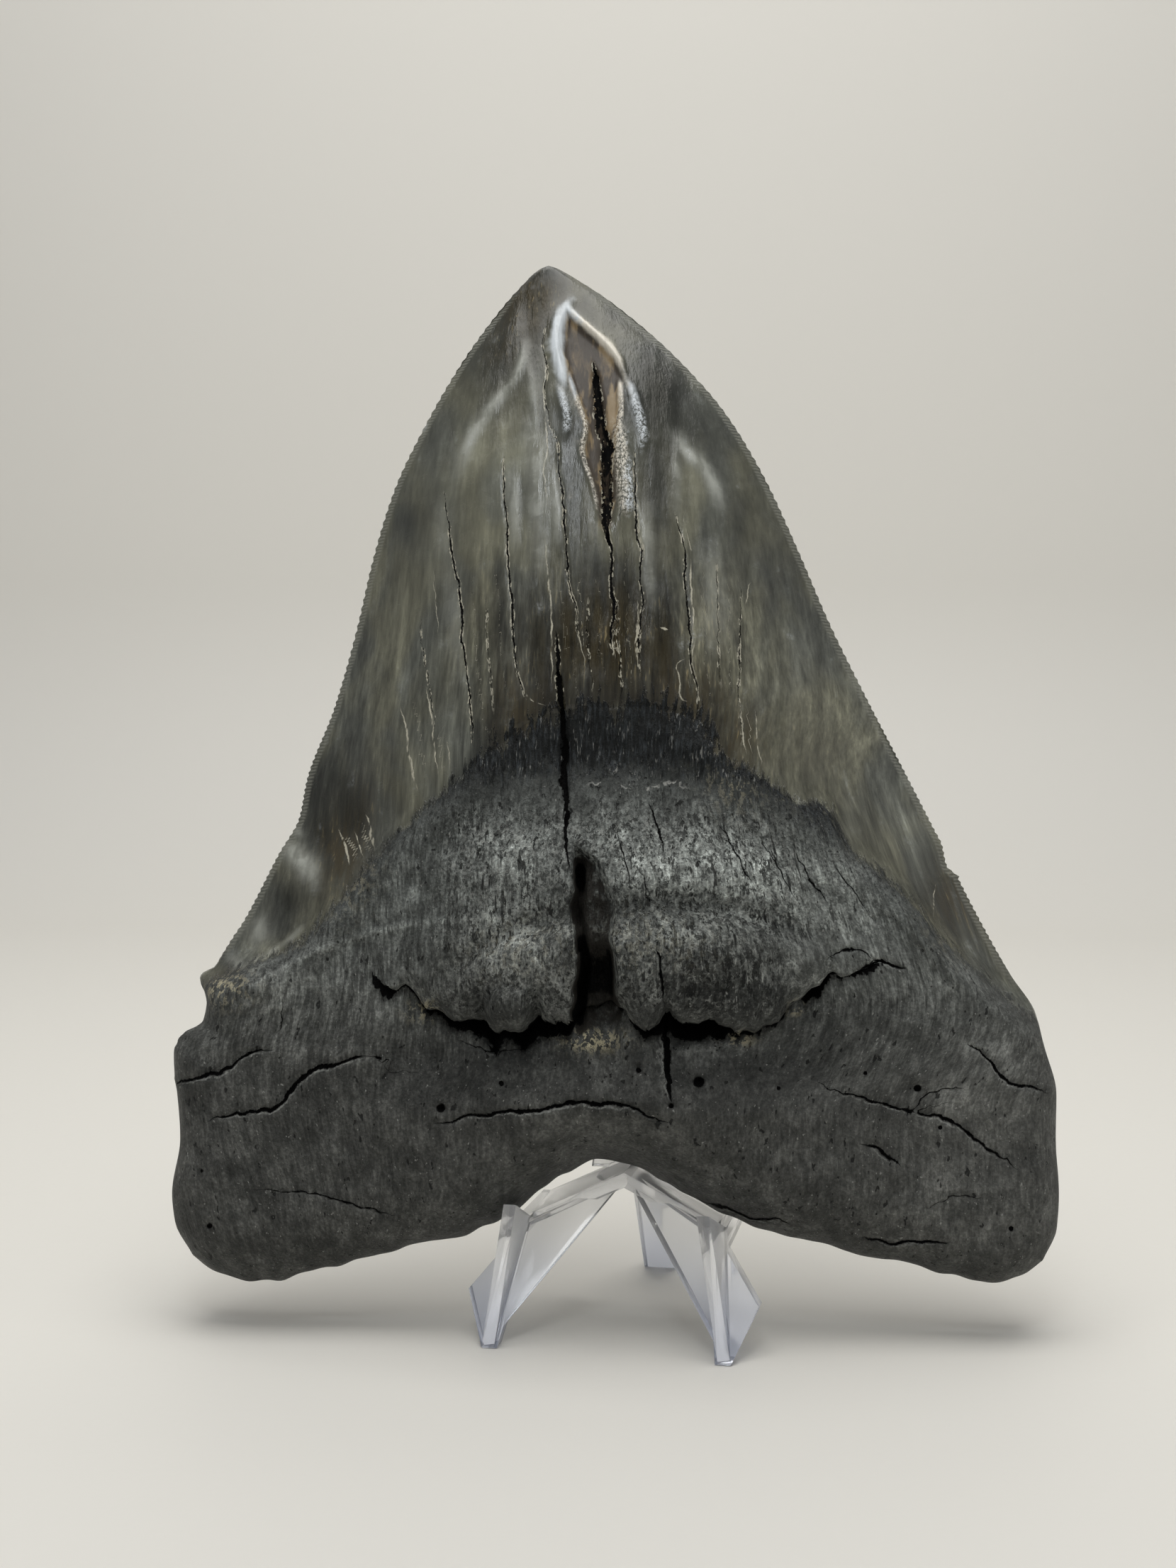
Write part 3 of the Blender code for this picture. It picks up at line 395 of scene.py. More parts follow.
def rimDistance(x, v, count=160):
    # distance in the plane from each point to the nearest piece of the outline
    leftEdge, rightEdge, tip = tooth["leftEdge"], tooth["rightEdge"], tooth["tip"]
    bottomEdge = tooth["bottomEdge"]
    vLeft = np.linspace(leftEdge[0][1], tip[1], count)
    vRight = np.linspace(rightEdge[0][1], tip[1], count)
    xBottom = np.linspace(bottomEdge[0][0], bottomEdge[-1][0], count)
    outline = np.concatenate([
        np.stack([curveAt(swap(leftEdge), vLeft), vLeft], 1)[::-1],
        np.stack([xBottom, curveAt(bottomEdge, xBottom)], 1),
        np.stack([curveAt(swap(rightEdge), vRight), vRight], 1)])
    return lineField(x, v, outline)[0]


def lineField(x, v, points):
    # distance to a chain of points, its signed form (positive on the left of the
    # chain's run) and how far along the chain the nearest place is, from 0 to 1
    points = np.array(points, dtype=float)
    run = np.diff(points, axis=0)
    length = np.hypot(*run.T)
    start = np.concatenate([[0.0], np.cumsum(length)])
    nearest = np.full(x.shape, 1e9)
    signed, along = nearest.copy(), np.zeros(x.shape)
    for (ax, av), (rx, rv), size, before in zip(points[:-1], run, length, start):
        if size < 1e-9:
            continue
        t = np.clip(((x - ax) * rx + (v - av) * rv) / size ** 2, 0, 1)
        gap = np.hypot(x - ax - t * rx, v - av - t * rv)
        closer = gap < nearest
        nearest = np.where(closer, gap, nearest)
        side = np.sign(rx * (v - av) - rv * (x - ax))
        signed = np.where(closer, gap * side, signed)
        along = np.where(closer, (before + t * size) / start[-1], along)
    return nearest, signed, along


def crackField(x, v, lines, reach=2.2):
    # signed distance to the nearest crack and its half width there, which tapers
    # to both ends and is nothing further than `reach` from the crack
    offset, half = np.full(x.shape, far), np.zeros(x.shape)
    nearest = np.full(x.shape, far)
    for width, points in lines:
        gap, signed, along = lineField(x, v, smoothRun(points))
        closer = gap < nearest
        nearest = np.where(closer, gap, nearest)
        offset = np.where(closer, signed, offset)
        taper = np.clip(np.sin(np.pi * np.clip(along, 0, 1)), 0, 1) ** 0.6
        half = np.where(closer, width * taper * (gap < reach), half)
    return np.clip(offset, -far, far), half


def smoothRun(points):
    # Catmull-Rom curve through the points, four places to a stretch
    p = np.array([points[0]] + list(points) + [points[-1]], dtype=float)
    t = np.linspace(0, 1, 5)[:-1, None, None]
    a, b, c, d = p[:-3], p[1:-2], p[2:-1], p[3:]
    run = 0.5 * (2 * b + (c - a) * t + (2 * a - 5 * b + 4 * c - d) * t ** 2
                 + (3 * b - a - 3 * c + d) * t ** 3)
    return np.concatenate([run.transpose(1, 0, 2).reshape(-1, 2), p[-1:]])


def spots(x, v, table):
    # sum of Gaussian patches
    return sum(amount * np.exp(-((x - cx) / rx) ** 2 - ((v - cv) / rv) ** 2)
               for cx, cv, rx, rv, amount in table)


def roundRim(rho, radius):
    # quarter circle from 0 at the rim to 1 at `radius` inside it
    return np.sqrt(1 - (1 - np.clip(rho / radius, 0, 1)) ** 2)


def lipAt(x):
    # the lip's line with small breaks in it
    line = curveAt(tooth["lip"], x)
    return line + 0.38 * softNoise(x, 0 * x, 1.3, 40) + 0.2 * softNoise(x, 0 * x, 0.6, 41)


def lipShare(x):
    # 1 under the boss, fading to 0 at both ends of the lip
    return ease(-34, -24, x) * (1 - ease(24, 39, x))


def insideLoop(x, v, points):
    # signed distance to a closed smooth outline, positive inside it (even-odd rule:
    # count the sides crossed by a ray to the right)
    loop = smoothRun(list(points) + [points[0]])
    inside = np.zeros(x.shape, bool)
    for (ax, av), (bx, bv) in zip(loop[:-1], loop[1:]):
        if av != bv:
            inside ^= ((av > v) != (bv > v)) & (x < (bx - ax) * (v - av) / (bv - av) + ax)
    return np.where(inside, 1.0, -1.0) * np.minimum(lineField(x, v, loop)[0], 4.0)


def gapSides(v):
    # the two sides of the pocket in the boss, each with small breaks
    return (curveAt(tooth["gapLeft"], v) + 0.45 * softNoise(v, 0 * v, 1.9, 51),
            curveAt(tooth["gapRight"], v) + 0.40 * softNoise(v, 0 * v, 2.3, 52))


relief = {                         # how far each form stands out or is sunk, mostly in mm
    "crownRound": 0.92, "backRound": 0.7,    # powers of the crown's lens shape, lower is flatter
    "lobes": 7.6, "middle": 5.4, "boss": 6.4,
    "lowerSwell": 1.5, "crease": 1.3, "upperSwell": 1.1,
    "lipRound": 3.6, "undercut": 4.6, "hollow": 1.5, "lipLift": 1.7,
    "knob": 1.9, "knobAt": (-13.7, 38.6), "knobRadius": 3.2,
    "notches": [(-17.6, 0.8), (-9.6, 1), (-21.8, 0.4), (11.4, 0.3), (16.8, 0.4), (21.6, 0.6), (25.8, 0.6)],
    "rootLumps": [(0.6, 17, 1), (0.36, 7.5, 2), (0.2, 2.8, 3)],      # height, size and seed of each
    "backLumps": [(0.5, 16, 11), (0.3, 7, 12), (0.13, 2.8, 13)],
    "seam": 0.25, "ridge": 0.22, "shine": 0.45, "edgeBead": 0.08,
    "bandLedge": 0.55, "enamelStep": 0.22, "backStep": 0.3,
    "groove": 1.1, "pocket": 2.4, "pocketMiddle": 4.2, "pocketWall": 2, "worn": 0.95,
    "backLobes": 7.4, "backMiddle": 1.6, "backHollow": 1.2,
    "rootCrack": 0.9, "crownCrack": 1.2, "backCrack": 1.3, "crackStep": 0.2,
    "fineCrack": 0.35,                       # share of its depth that a fine crown crack has
}


def lumps(x, v, table):
    # sum of soft noises, each with its own height, size and seed
    return sum(height * softNoise(x, v, size, seed) for height, size, seed in table)


def bossHeight(x, v, lip, above):
    # a broad hill with two halves that swell below and above a crease; it rounds over to
    # the lip, which is notched in places and carries a half-round knob
    boss = relief["boss"] * hill(x, 1, 25) * ease(84, 50, v) * (1 - 0.16 * ease(50, 37, v))
    halves = hill(x, -13, 11) + hill(x, 13, 15)
    crease = 53.4 - 0.010 * (x - 8) ** 2
    boss += (relief["lowerSwell"] * hill(v, 46.5, 4.6) - relief["crease"] * hill(v, crease, 1.7)
             + relief["upperSwell"] * hill(v, 58.5, 4.0)) * halves
    boss -= relief["lipRound"] * lipShare(x) * (1 - roundRim(v - lip, 5.2)) * above
    knobX, knobV = relief["knobAt"]
    knob = np.clip(1 - ((x - knobX) ** 2 + (v - knobV) ** 2) / relief["knobRadius"] ** 2, 0, 1)
    boss += relief["knob"] * np.sqrt(knob) * above
    for notchX, depth in relief["notches"]:
        boss -= depth * hill(x, notchX, 0.85) * ease(6.5, 0.5, v - lip) * above
    return boss


def rootHeight(x, v, rho):
    # lobes and the boss between them, sunk under the lip, lumpy, with a round rim
    lip = lipAt(x)
    root = relief["lobes"] + relief["middle"] * hill(x, 2, 31) * ease(4, 34, v)
    boss = bossHeight(x, v, lip, ease(-0.12, 0.12, v - lip))
    below = lip - v
    under = lipShare(x) * ease(-0.15, 0.15, below)
    hollow = curveAt(tooth["hollow"], x)
    root = root + boss - relief["undercut"] * under * ease(24, 33, v)
    root -= relief["hollow"] * hollow * under * np.exp(-(below / (0.75 * hollow + 1.0)) ** 2)
    root += lumps(x, v, relief["rootLumps"])
    root += 0.16 * softNoise(x + 0.1 * v, 0.22 * v, 1.1, 6) + 0.09 * softNoise(x, v, 1.3, 7)
    coarse = (hill(x, 6, 22) * hill(v, 47, 10)) + 0.5 * hill(x, 14, 12) * hill(v, 60, 7)
    root += 0.24 * softNoise(x, v, 1.25, 10) * coarse
    root += relief["seam"] * ridgeField(x, v, seams)
    return root * roundRim(rho, 10.0)


def pocketDepth(x, v):
    # slot between the two halves of the boss, deepest in its middle and along its left wall
    left, right = gapSides(v)
    slot = ease(-0.25, 0.25, x - left) * ease(0.9, -0.9, x - right) * ease(33, 38, v) * (1 - ease(59, 62, v))
    floor = (relief["pocket"] + relief["pocketMiddle"] * ease(49, 45, v) * ease(38, 42, v)) * slot
    return floor, relief["pocketWall"] * hill(x, left + 0.75, 0.6) * slot


def frontSurface(x, v, s, rho):
    # height of the front over the plane and its shift up the plane: a lens-shaped crown
    # blended into the root, with a ledge and a fine step where the enamel ends
    side = 2 * s - 1
    crown = curveAt(tooth["crownFront"], v) * (1 - side ** 2) ** relief["crownRound"]
    crown += 0.13 * softNoise(x, 0.2 * v, 2.6, 8) + 0.22 * softNoise(x, v, 12, 9)
    crown += 0.07 * softNoise(x, 0.12 * v, 1.2, 14)
    border = v - curveAt(tooth["border"], x)
    blend = ease(-4.5, 4, border)
    depth = rootHeight(x, v, rho) * (1 - blend) + crown * blend
    depth += relief["bandLedge"] * hill(border, -3.5, 2.6) * roundRim(rho, 6)
    depth -= relief["enamelStep"] * hill(border, 0.3, 0.5) * roundRim(rho, 4)
    depth += relief["ridge"] * ridgeField(x, v, sheenRidges)

    # groove up the middle, and the pocket
    gap = x - curveAt(tooth["groove"], v)
    half = 0.5 + 1.2 * ease(46, 36, v)
    depth -= relief["groove"] * np.exp(-(gap / half) ** 4) * ease(22, 33, v) * (1 - ease(46, 52, v))
    for cut in pocketDepth(x, v):
        depth -= cut
    below = lipAt(x) - v
    lift = relief["lipLift"] * lipShare(x) * ease(0.0, 0.4, below) * (1 - ease(1.5, 8.0, below))

    # the worn place under the tip is sunk, with a rolled rim round it
    bare = insideLoop(x, v, tooth["bare"])
    depth += relief["shine"] * ridgeField(x, v, shines)
    depth -= relief["worn"] * ease(-0.6, 1.3, bare) * ease(106, 118, v)

    # a bead runs along the crown's cutting edges
    depth += relief["edgeBead"] * hill(rho, 0.8, 0.45) * ease(2, 6, border)
    return depth, lift


def backSurface(x, v, s, rho):
    # flatter than the front: a faintly convex crown and a flat root
    side = 2 * s - 1
    crown = curveAt(tooth["crownBack"], v) * (1 - side ** 2) ** relief["backRound"]
    crown += 0.10 * softNoise(x, 0.2 * v, 2.6, 18) + 0.2 * softNoise(x, v, 13, 19)
    root = relief["backLobes"] + relief["backMiddle"] * hill(x, 0, 40) * ease(8, 40, v)
    root -= relief["backHollow"] * hill(x, 0, 16) * hill(v, 30, 14)
    root += lumps(x, v, relief["backLumps"])
    root += 0.10 * softNoise(x + 0.1 * v, 0.22 * v, 1.1, 16)
    root = root * roundRim(rho, 8.5)
    border = v - curveAt(tooth["backBorder"], x)
    blend = ease(-4, 4, border)
    depth = root * (1 - blend) + crown * blend
    return depth - relief["backStep"] * hill(border, 0.2, 0.8) * roundRim(rho, 4)


def crackCut(offset, half, deep, soft=0.12):
    # bell-shaped groove, `soft` wider than the crack and deeper where the crack is wider
    return deep * half / (half + soft) * np.exp(-(offset / (half + soft)) ** 2) * (half > 0)


def pitCut(x, v):
    # round dimples 1.8 times as deep as their radius
    return sum(1.8 * r * np.exp(-((x - px) ** 2 + (v - pv) ** 2) / (r * r + 0.06)) for px, pv, r in pits)


def frontCuts(fields, x, v):
    # the cracks, one side of a root crack standing a little over the other, and the pits
    offset, half, _ = fields["rootCrack"]
    step = relief["crackStep"] * np.tanh(offset / 0.3) * np.exp(-np.abs(offset) / 1.1)
    step = step * np.clip(half / 0.3, 0, 1)
    cut = crackCut(offset, half, relief["rootCrack"]) + step
    offset, half, _ = fields["crownCrack"]
    share = np.where(half > 0.3, 1.0, relief["fineCrack"])
    return cut + crackCut(offset, half, relief["crownCrack"]) * share + pitCut(x, v)


def place(x, v, d):
    # tooth plane to the object's frame, in metres
    lean = tooth["lean"]
    return np.stack([x, tooth["bladeY"] + v * sin(lean) - d * cos(lean),
                     tooth["lobeClearance"] + v * cos(lean) + d * sin(lean)], -1) * mm


def slopeOf(points, x, step=0.3):
    # rise over run between two places `step` to each side
    return (curveAt(points, x + step) - curveAt(points, x - step)) / (2 * step)


def ridgeField(x, v, lines):
    # the highest of the Gaussian ridges along short lines, each tapering to both ends
    total = 0 * x
    for width, amount, points in lines:
        gap, _, along = lineField(x, v, smoothRun(points))
        ends = np.sin(np.pi * np.clip(along, 0.02, 0.98)) ** 0.4
        total = np.maximum(total, amount * np.exp(-(gap / width) ** 2) * ends)
    return total


def fibreRun(x, v):
    # coordinate across the root's fibres: they stand upright in the crown and the middle
    # and lean outwards on the right of the boss and in the left lobe
    right = 0.30 * ease(4, 34, x) * ease(86, 66, v) * ease(24, 44, v) * (v - 60)
    left = 0.28 * ease(-20, -48, x) * ease(42, 22, v) * (v - 20)
    return x + right + left


def bossFields(x, v0, v):
    # where the boss is, how deep inside the painted shadow under its lip, and how much painted shade the
    # pocket gets
    boss = (ease(-27, -19, x) * ease(31, 19, x) * ease(36, 41, v) * ease(70, 63, v)
            + 0.5 * ease(16, 26, x) * ease(44, 34, x) * ease(46, 52, v) * ease(66, 60, v))
    under = lipAt(x) - v0 > -0.15
    below = np.maximum(lipAt(x) - v, 0.0)
    hollow = np.where(under & (lipShare(x) > 0), curveAt(tooth["hollow"], x) - below, -far)
    left, right = gapSides(v)
    narrow = 0.35 + 0.65 * np.maximum(ease(54, 57, v), ease(50, 47, v))
    deep = np.maximum(hill(x, left + 0.7, 1.0) * narrow, 0.62 * ease(48.5, 45.5, v) * ease(39, 42, v))
    deep = np.maximum(deep, hill(x, right - 0.4, 0.5) * ease(49, 46, v) * ease(39, 42, v))
    slot = (ease(-0.3, 0.1, x - left) * ease(0.6, -0.6, x - right) * ease(34, 38, v)
            * (1 - ease(58, 61, v)) * (0.30 + 0.70 * deep))
    return boss, hollow, slot


def borderDistance(x, v, border):
    # height over the line, made shorter where the line is steep
    return (v - curveAt(border, x)) / np.sqrt(1 + slopeOf(border, x) ** 2)


def faceFields(x, v0, depth, rho, front, lift):
    # what the paint reads at each vertex, three numbers to an attribute
    v = v0 + lift
    enamel = borderDistance(x, v, tooth["border"] if front else tooth["backBorder"])
    band = borderDistance(x, v, tooth["bandFoot"]) if front else enamel + 3.0
    sway = 0.42 * softNoise(x * 0.4, v, 4.2, 33) + 0.16 * softNoise(x, v, 1.2, 34)
    crown = crackField(x + sway, v, crownCracks if front else backCracks)
    jagX = x + 0.30 * softNoise(x, v, 1.0, 31) + 0.3 * softNoise(x, v, 3.5, 35)
    jagV = v + 0.30 * softNoise(x, v, 1.0, 32) + 0.3 * softNoise(x, v, 3.5, 36)
    root = crackField(jagX, jagV, rootCracks if front else backRootCracks)
    zero, away = 0 * x, np.full(x.shape, far)
    thread, bare, hollow, slot, boss = (away, zero), -0.4 * away, -away, zero, zero
    if front:
        thread = crackField(x + sway, v, threads)
        bare = insideLoop(x, v, tooth["bare"])
        boss, hollow, slot = bossFields(x, v0, v)

    def lines(table):
        return ridgeField(x, v, table) if front else zero

    return {
        "grain": (fibreRun(x, v), v, depth if front else -depth),
        "plane": (x, v, zero + (1.0 if front else 0.0)),
        "zones": (enamel, band, rho),
        "crownCrack": (*crown, lines(shines)),
        "thread": (*thread, slot),
        "rootCrack": (*root, hollow),
        "tone": (spots(x, v, toneAndPaintedLightSpots) - lines(furrows), spots(x, v, warmSpots),
                 spots(x, v, rootToneAndPaintedLightSpots) + lines(seams)),
        "bareSpot": (bare, boss, lines(sheenRidges)),
    }


def ringFaces(index, flip):
    # quads of a grid of vertex numbers
    a, b, c, d = index[:-1, :-1], index[1:, :-1], index[1:, 1:], index[:-1, 1:]
    quads = np.stack([a, b, c, d], -1).reshape(-1, 4)
    return quads[:, ::-1] if flip else quads


def toothFaces(frontIndex, backIndex, tip):
    # the front's quads, the back's coarser quads, the strip between them and the tip's fans
    faces = [tuple(q) for q in ringFaces(frontIndex, False).tolist()]
    faces += [tuple(q) for q in ringFaces(backIndex[2:-2:2, 2::2], True).tolist()]
    faces += rimStrip(backIndex)
    for row in (frontIndex[:, -1].tolist(), backIndex[::2, -1].tolist()):
        faces += [(a, b, tip) for a, b in zip(row[:-1], row[1:])]
    return faces


def rimStrip(index):
    # faces between the rim's vertices and the coarser sheet one step of two inside it
    last, top = index.shape[0] - 1, index.shape[1] - 1
    faces = []
    for side, inside in ((0, 2), (last, last - 2)):
        near = index[side]
        faces += [(near[j], near[j + 1], near[j + 2], index[inside, j + 2], index[inside, j])
                  for j in range(2, top, 2)]
        faces.append((near[2], near[1], near[0], index[(side + inside) // 2, 0], index[inside, 0],
                      index[inside, 2]))
    faces += [(index[i, 0], index[i + 1, 0], index[i + 2, 0], index[i + 2, 2], index[i, 2])
              for i in range(2, last - 2, 2)]
    return [tuple(int(n) for n in face) for face in faces]


def turnOutwards(mesh):
    # turns every face outwards and counts the edges that don't lie between two faces
    bm = bmesh.new()
    bm.from_mesh(mesh)
    bmesh.ops.recalc_face_normals(bm, faces=bm.faces[:])
    bm.to_mesh(mesh)
    openEdges = sum(len(edge.link_faces) != 2 for edge in bm.edges)
    bm.free()
    return openEdges


def makeTooth():
    # two sheets on the same grid share the rim; the back keeps every second row
    # and column inside it and meets the rim with five-sided faces
    x, v, s, rho = bladeGrid(tooth["columns"], tooth["rows"])
    depth, lift = frontSurface(x, v, s, rho)
    backDepth = backSurface(x, v, s, rho)
    fieldsFront = faceFields(x, v, depth, rho, True, lift)
    fieldsBack = faceFields(x, v, backDepth, rho, False, 0.0)
    inner = ease(0.0, 1.2, rho)
    depth = depth - frontCuts(fieldsFront, x, v) * inner
    offset, half, _ = fieldsBack["rootCrack"]
    backDepth = backDepth - crackCut(offset, half, relief["backCrack"]) * inner

    front, back, rim = place(x, v + lift, depth), place(x, v, -backDepth), place(x, v, 0 * x)
    columns, rows = x.shape
    onRim = np.zeros(x.shape, bool)
    onRim[0], onRim[-1], onRim[:, 0] = True, True, True
    front[onRim] = rim[onRim]
    frontIndex = np.arange(columns * rows).reshape(columns, rows)
    keep = np.zeros(x.shape, bool)
    keep[2:-2:2, 2::2] = True
    backIndex = np.full(x.shape, -1)
    backIndex[keep] = columns * rows + np.arange(keep.sum())
    backIndex[onRim] = frontIndex[onRim]
    points = np.concatenate([front.reshape(-1, 3), back[keep],
                             place(*[np.array([k]) for k in (*tooth["tip"], 0.0)])])
    mesh = bpy.data.meshes.new("fossilTooth")
    mesh.from_pydata(points.tolist(), [], toothFaces(frontIndex, backIndex, len(points) - 1))
    for name, front3 in fieldsFront.items():
        f = np.stack(front3, -1).reshape(-1, 3)
        b = np.stack(fieldsBack[name], -1)[keep]
        layer = mesh.attributes.new(name, "FLOAT_VECTOR", "POINT")
        layer.data.foreach_set("vector", np.concatenate([f, b, f[-1:]]).astype(np.float32).ravel())
    openEdges = turnOutwards(mesh)
    mesh.shade_smooth()
    mesh.set_sharp_from_angle(angle=tooth["sharpAngle"])
    triangles = sum(len(face.vertices) - 2 for face in mesh.polygons)
    print("tooth:", len(mesh.vertices), "vertices,", triangles, "triangles,", openEdges, "open edges")
    return putInScene("fossilTooth", mesh)


def putInScene(name, data):
    # an object for a mesh, a lamp or a camera
    thing = bpy.data.objects.new(name, data)
    bpy.context.collection.objects.link(thing)
    return thing


# paint: a Field is a number or colour that the shader works out at each point of the
# surface, and arithmetic on Fields adds the Math nodes

class Field:
    def __init__(self, tree, socket):
        self.tree = tree
        self.socket = socket

    def maths(self, operation, other=0.0, held=False):
        # one Math node, its result held between 0 and 1 if asked
        node = addNode(self.tree, "Math", {0: self, 1: other}, operation=operation, use_clamp=held)
        return Field(self.tree, node.outputs[0])

    def __add__(self, other):
        return self.maths("ADD", other)

    def __sub__(self, other):
        return self.maths("SUBTRACT", other)

    def __mul__(self, other):
        return self.maths("MULTIPLY", other)

    def size(self):
        # without its sign
        return self.maths("ABSOLUTE")

    def orMore(self, other):
        # the greater of the two
        return self.maths("MAXIMUM", other)

    def held(self):
        # held between 0 and 1
        return self.maths("ADD", 0.0, True)

    def heldShare(self, share):
        # a share of it, held between 0 and 1
        return self.maths("MULTIPLY", share, True)

    def swing(self, amount):
        # a noise from 0 to 1 as a change to either side of nothing
        return (self - 0.5) * amount

    def fade(self, low, high, toLow=0.0, toHigh=1.0):
        # smoothstep between two values
        node = addNode(self.tree, "MapRange", {0: self, 1: low, 2: high, 3: toLow, 4: toHigh},
                       interpolation_type="SMOOTHSTEP")
        return Field(self.tree, node.outputs[0])


def startMaterial(name):
    # a new material, its nodes and its surface shader
    material = bpy.data.materials.new(name)
    material.use_nodes = True
    return material, material.node_tree, material.node_tree.nodes["Principled BSDF"]


def addNode(tree, kind, inputs=None, **settings):
    # a node with its settings; an input takes a Field's link or a plain value
    node = tree.nodes.new("ShaderNode" + kind)
    for key, value in settings.items():
        setattr(node, key, value)
    for key, value in (inputs or {}).items():
        if isinstance(value, Field):
            tree.links.new(value.socket, node.inputs[key])
        else:
            node.inputs[key].default_value = value
    return node


def wire(shader, fields):
    # links each Field to the shader's input of that name
    for name, field in fields.items():
        field.tree.links.new(field.socket, shader.inputs[name])


def setInputs(shader, values):
    # plain values for the inputs that nothing is linked to
    for name, value in values.items():
        shader.inputs[name].default_value = value


def readVector(tree, name):
    # one of the mesh's attributes, as its three numbers together
    node = addNode(tree, "Attribute", attribute_name=name, attribute_type="GEOMETRY")
    return Field(tree, node.outputs["Vector"])


def splitUp(vector):
    # the three numbers of a vector, each as its own Field
    parts = addNode(vector.tree, "SeparateXYZ", {0: vector})
    return [Field(vector.tree, socket) for socket in parts.outputs]


def objectMillimetres(tree):
    # Object coordinates, made a thousand times as large
    node = addNode(tree, "TexCoord")
    scaled = addNode(tree, "Mapping", {"Vector": Field(tree, node.outputs["Object"]),
                                       "Scale": (1000, 1000, 1000)})
    return Field(tree, scaled.outputs[0])


def drawnOut(vector, length):
    # the pattern's coordinates with its features drawn out `length` times along the fibres
    node = addNode(vector.tree, "Mapping", {"Vector": vector, "Scale": (1, 1 / length, 1)})
    return Field(vector.tree, node.outputs[0])


def noiseOf(vector, size, detail=2.0, roughness=0.6, length=1.0, warp=0.0):
    # noise with features about `size` mm across
    place = drawnOut(vector, length) if length != 1 else vector
    node = addNode(vector.tree, "TexNoise", {"Vector": place, "Scale": 1.0 / size, "Detail": detail,
                                             "Roughness": roughness, "Distortion": warp})
    return Field(vector.tree, node.outputs["Fac"])


def mix(factor, a, b):
    # from colour a at 0 to colour b at 1
    node = addNode(factor.tree, "Mix", {0: factor, 6: a, 7: b}, data_type="RGBA")
    return Field(factor.tree, node.outputs[2])


def mixNumbers(factor, a, b):
    # from number a at 0 to number b at 1
    node = addNode(factor.tree, "Mix", {0: factor, 2: a, 3: b}, data_type="FLOAT")
    return Field(factor.tree, node.outputs[0])


def layered(under, layers):
    # lays one paint after another over a colour, each where its mask is 1
    for mask, paint in layers:
        under = mix(mask, under, toothPaint[paint])
    return under


def bump(height, distance, strength=1.0):
    # normals tilted by the slope of a height
    node = addNode(height.tree, "Bump", {"Height": height, "Distance": distance, "Strength": strength})
    return Field(height.tree, node.outputs[0])


def lineMask(offset, half, wander, soft):
    # 1 inside a crack: its signed distance, shaken by a noise, against its half width
    return ((half - (offset + wander).size()) * (1 / soft)).held()


toothPaint = {
    "olive": (0.082, 0.081, 0.059, 1), "coolGrey": (0.077, 0.080, 0.067, 1),
    "brown": (0.052, 0.040, 0.019, 1), "gold": (0.40, 0.31, 0.15, 1),
    "sheen": (0.42, 0.43, 0.385, 1), "edgeBead": (0.25, 0.25, 0.21, 1),
    "black": (0.003, 0.003, 0.003, 1), "thread": (0.56, 0.53, 0.42, 1),
    "dentine": (0.30, 0.22, 0.12, 1), "dentineDark": (0.055, 0.042, 0.030, 1),
    "creamEdgeAndShine": (0.82, 0.77, 0.66, 1), "paintedShinePale": (0.72, 0.77, 0.80, 1),
    "crumb": (0.52, 0.47, 0.32, 1), "glintAndPaleCrumb": (0.42, 0.42, 0.39, 1),
    "band": (0.0070, 0.0080, 0.0088), "pocket": (0.030, 0.027, 0.023, 1),
    "rootWarm": (0.0418, 0.0421, 0.0388, 1), "rootCool": (0.0438, 0.0468, 0.0438, 1),
    "rootPale": (0.39, 0.40, 0.37, 1),
    "fullShine": (1, 1, 1, 1), "dimShine": (0.42, 0.39, 0.32, 1), "rootShine": (0.455, 0.475, 0.455, 1),
}
toothFinish = {
    "enamelTone": 0.42, "rootTone": 0.62,    # lightness of the whole enamel and root, in stops
    "enamelRoughness": (0.18, 0.32), "rootRoughness": (0.50, 0.72),
    "dentineRoughness": 0.50, "crackRoughness": 0.8,
    "bump": 0.5, "lineDepth": 0.8, "index": 1.5,
}
fieldNames = {                     # the three numbers in each of the mesh's attributes
    "plane": ("x", "v", "isFront"),
    "zones": ("enamel", "foot", "rim"),
    "crownCrack": ("crownOff", "crownHalf", "shine"),
    "thread": ("threadOff", "threadHalf", "slot"),
    "rootCrack": ("rootOff", "rootHalf", "hollow"),
    "tone": ("tone", "warm", "rootTone"),
    "bareSpot": ("bare", "boss", "ridge"),
}


def stops(colour, amount):
    # a colour made 2 to the power `amount` times as bright
    node = addNode(amount.tree, "Math", {0: 2.0, 1: amount}, operation="POWER")
    scaled = addNode(amount.tree, "VectorMath", {0: colour, 1: Field(amount.tree, node.outputs[0])},
                     operation="MULTIPLY")
    return Field(amount.tree, scaled.outputs[0])


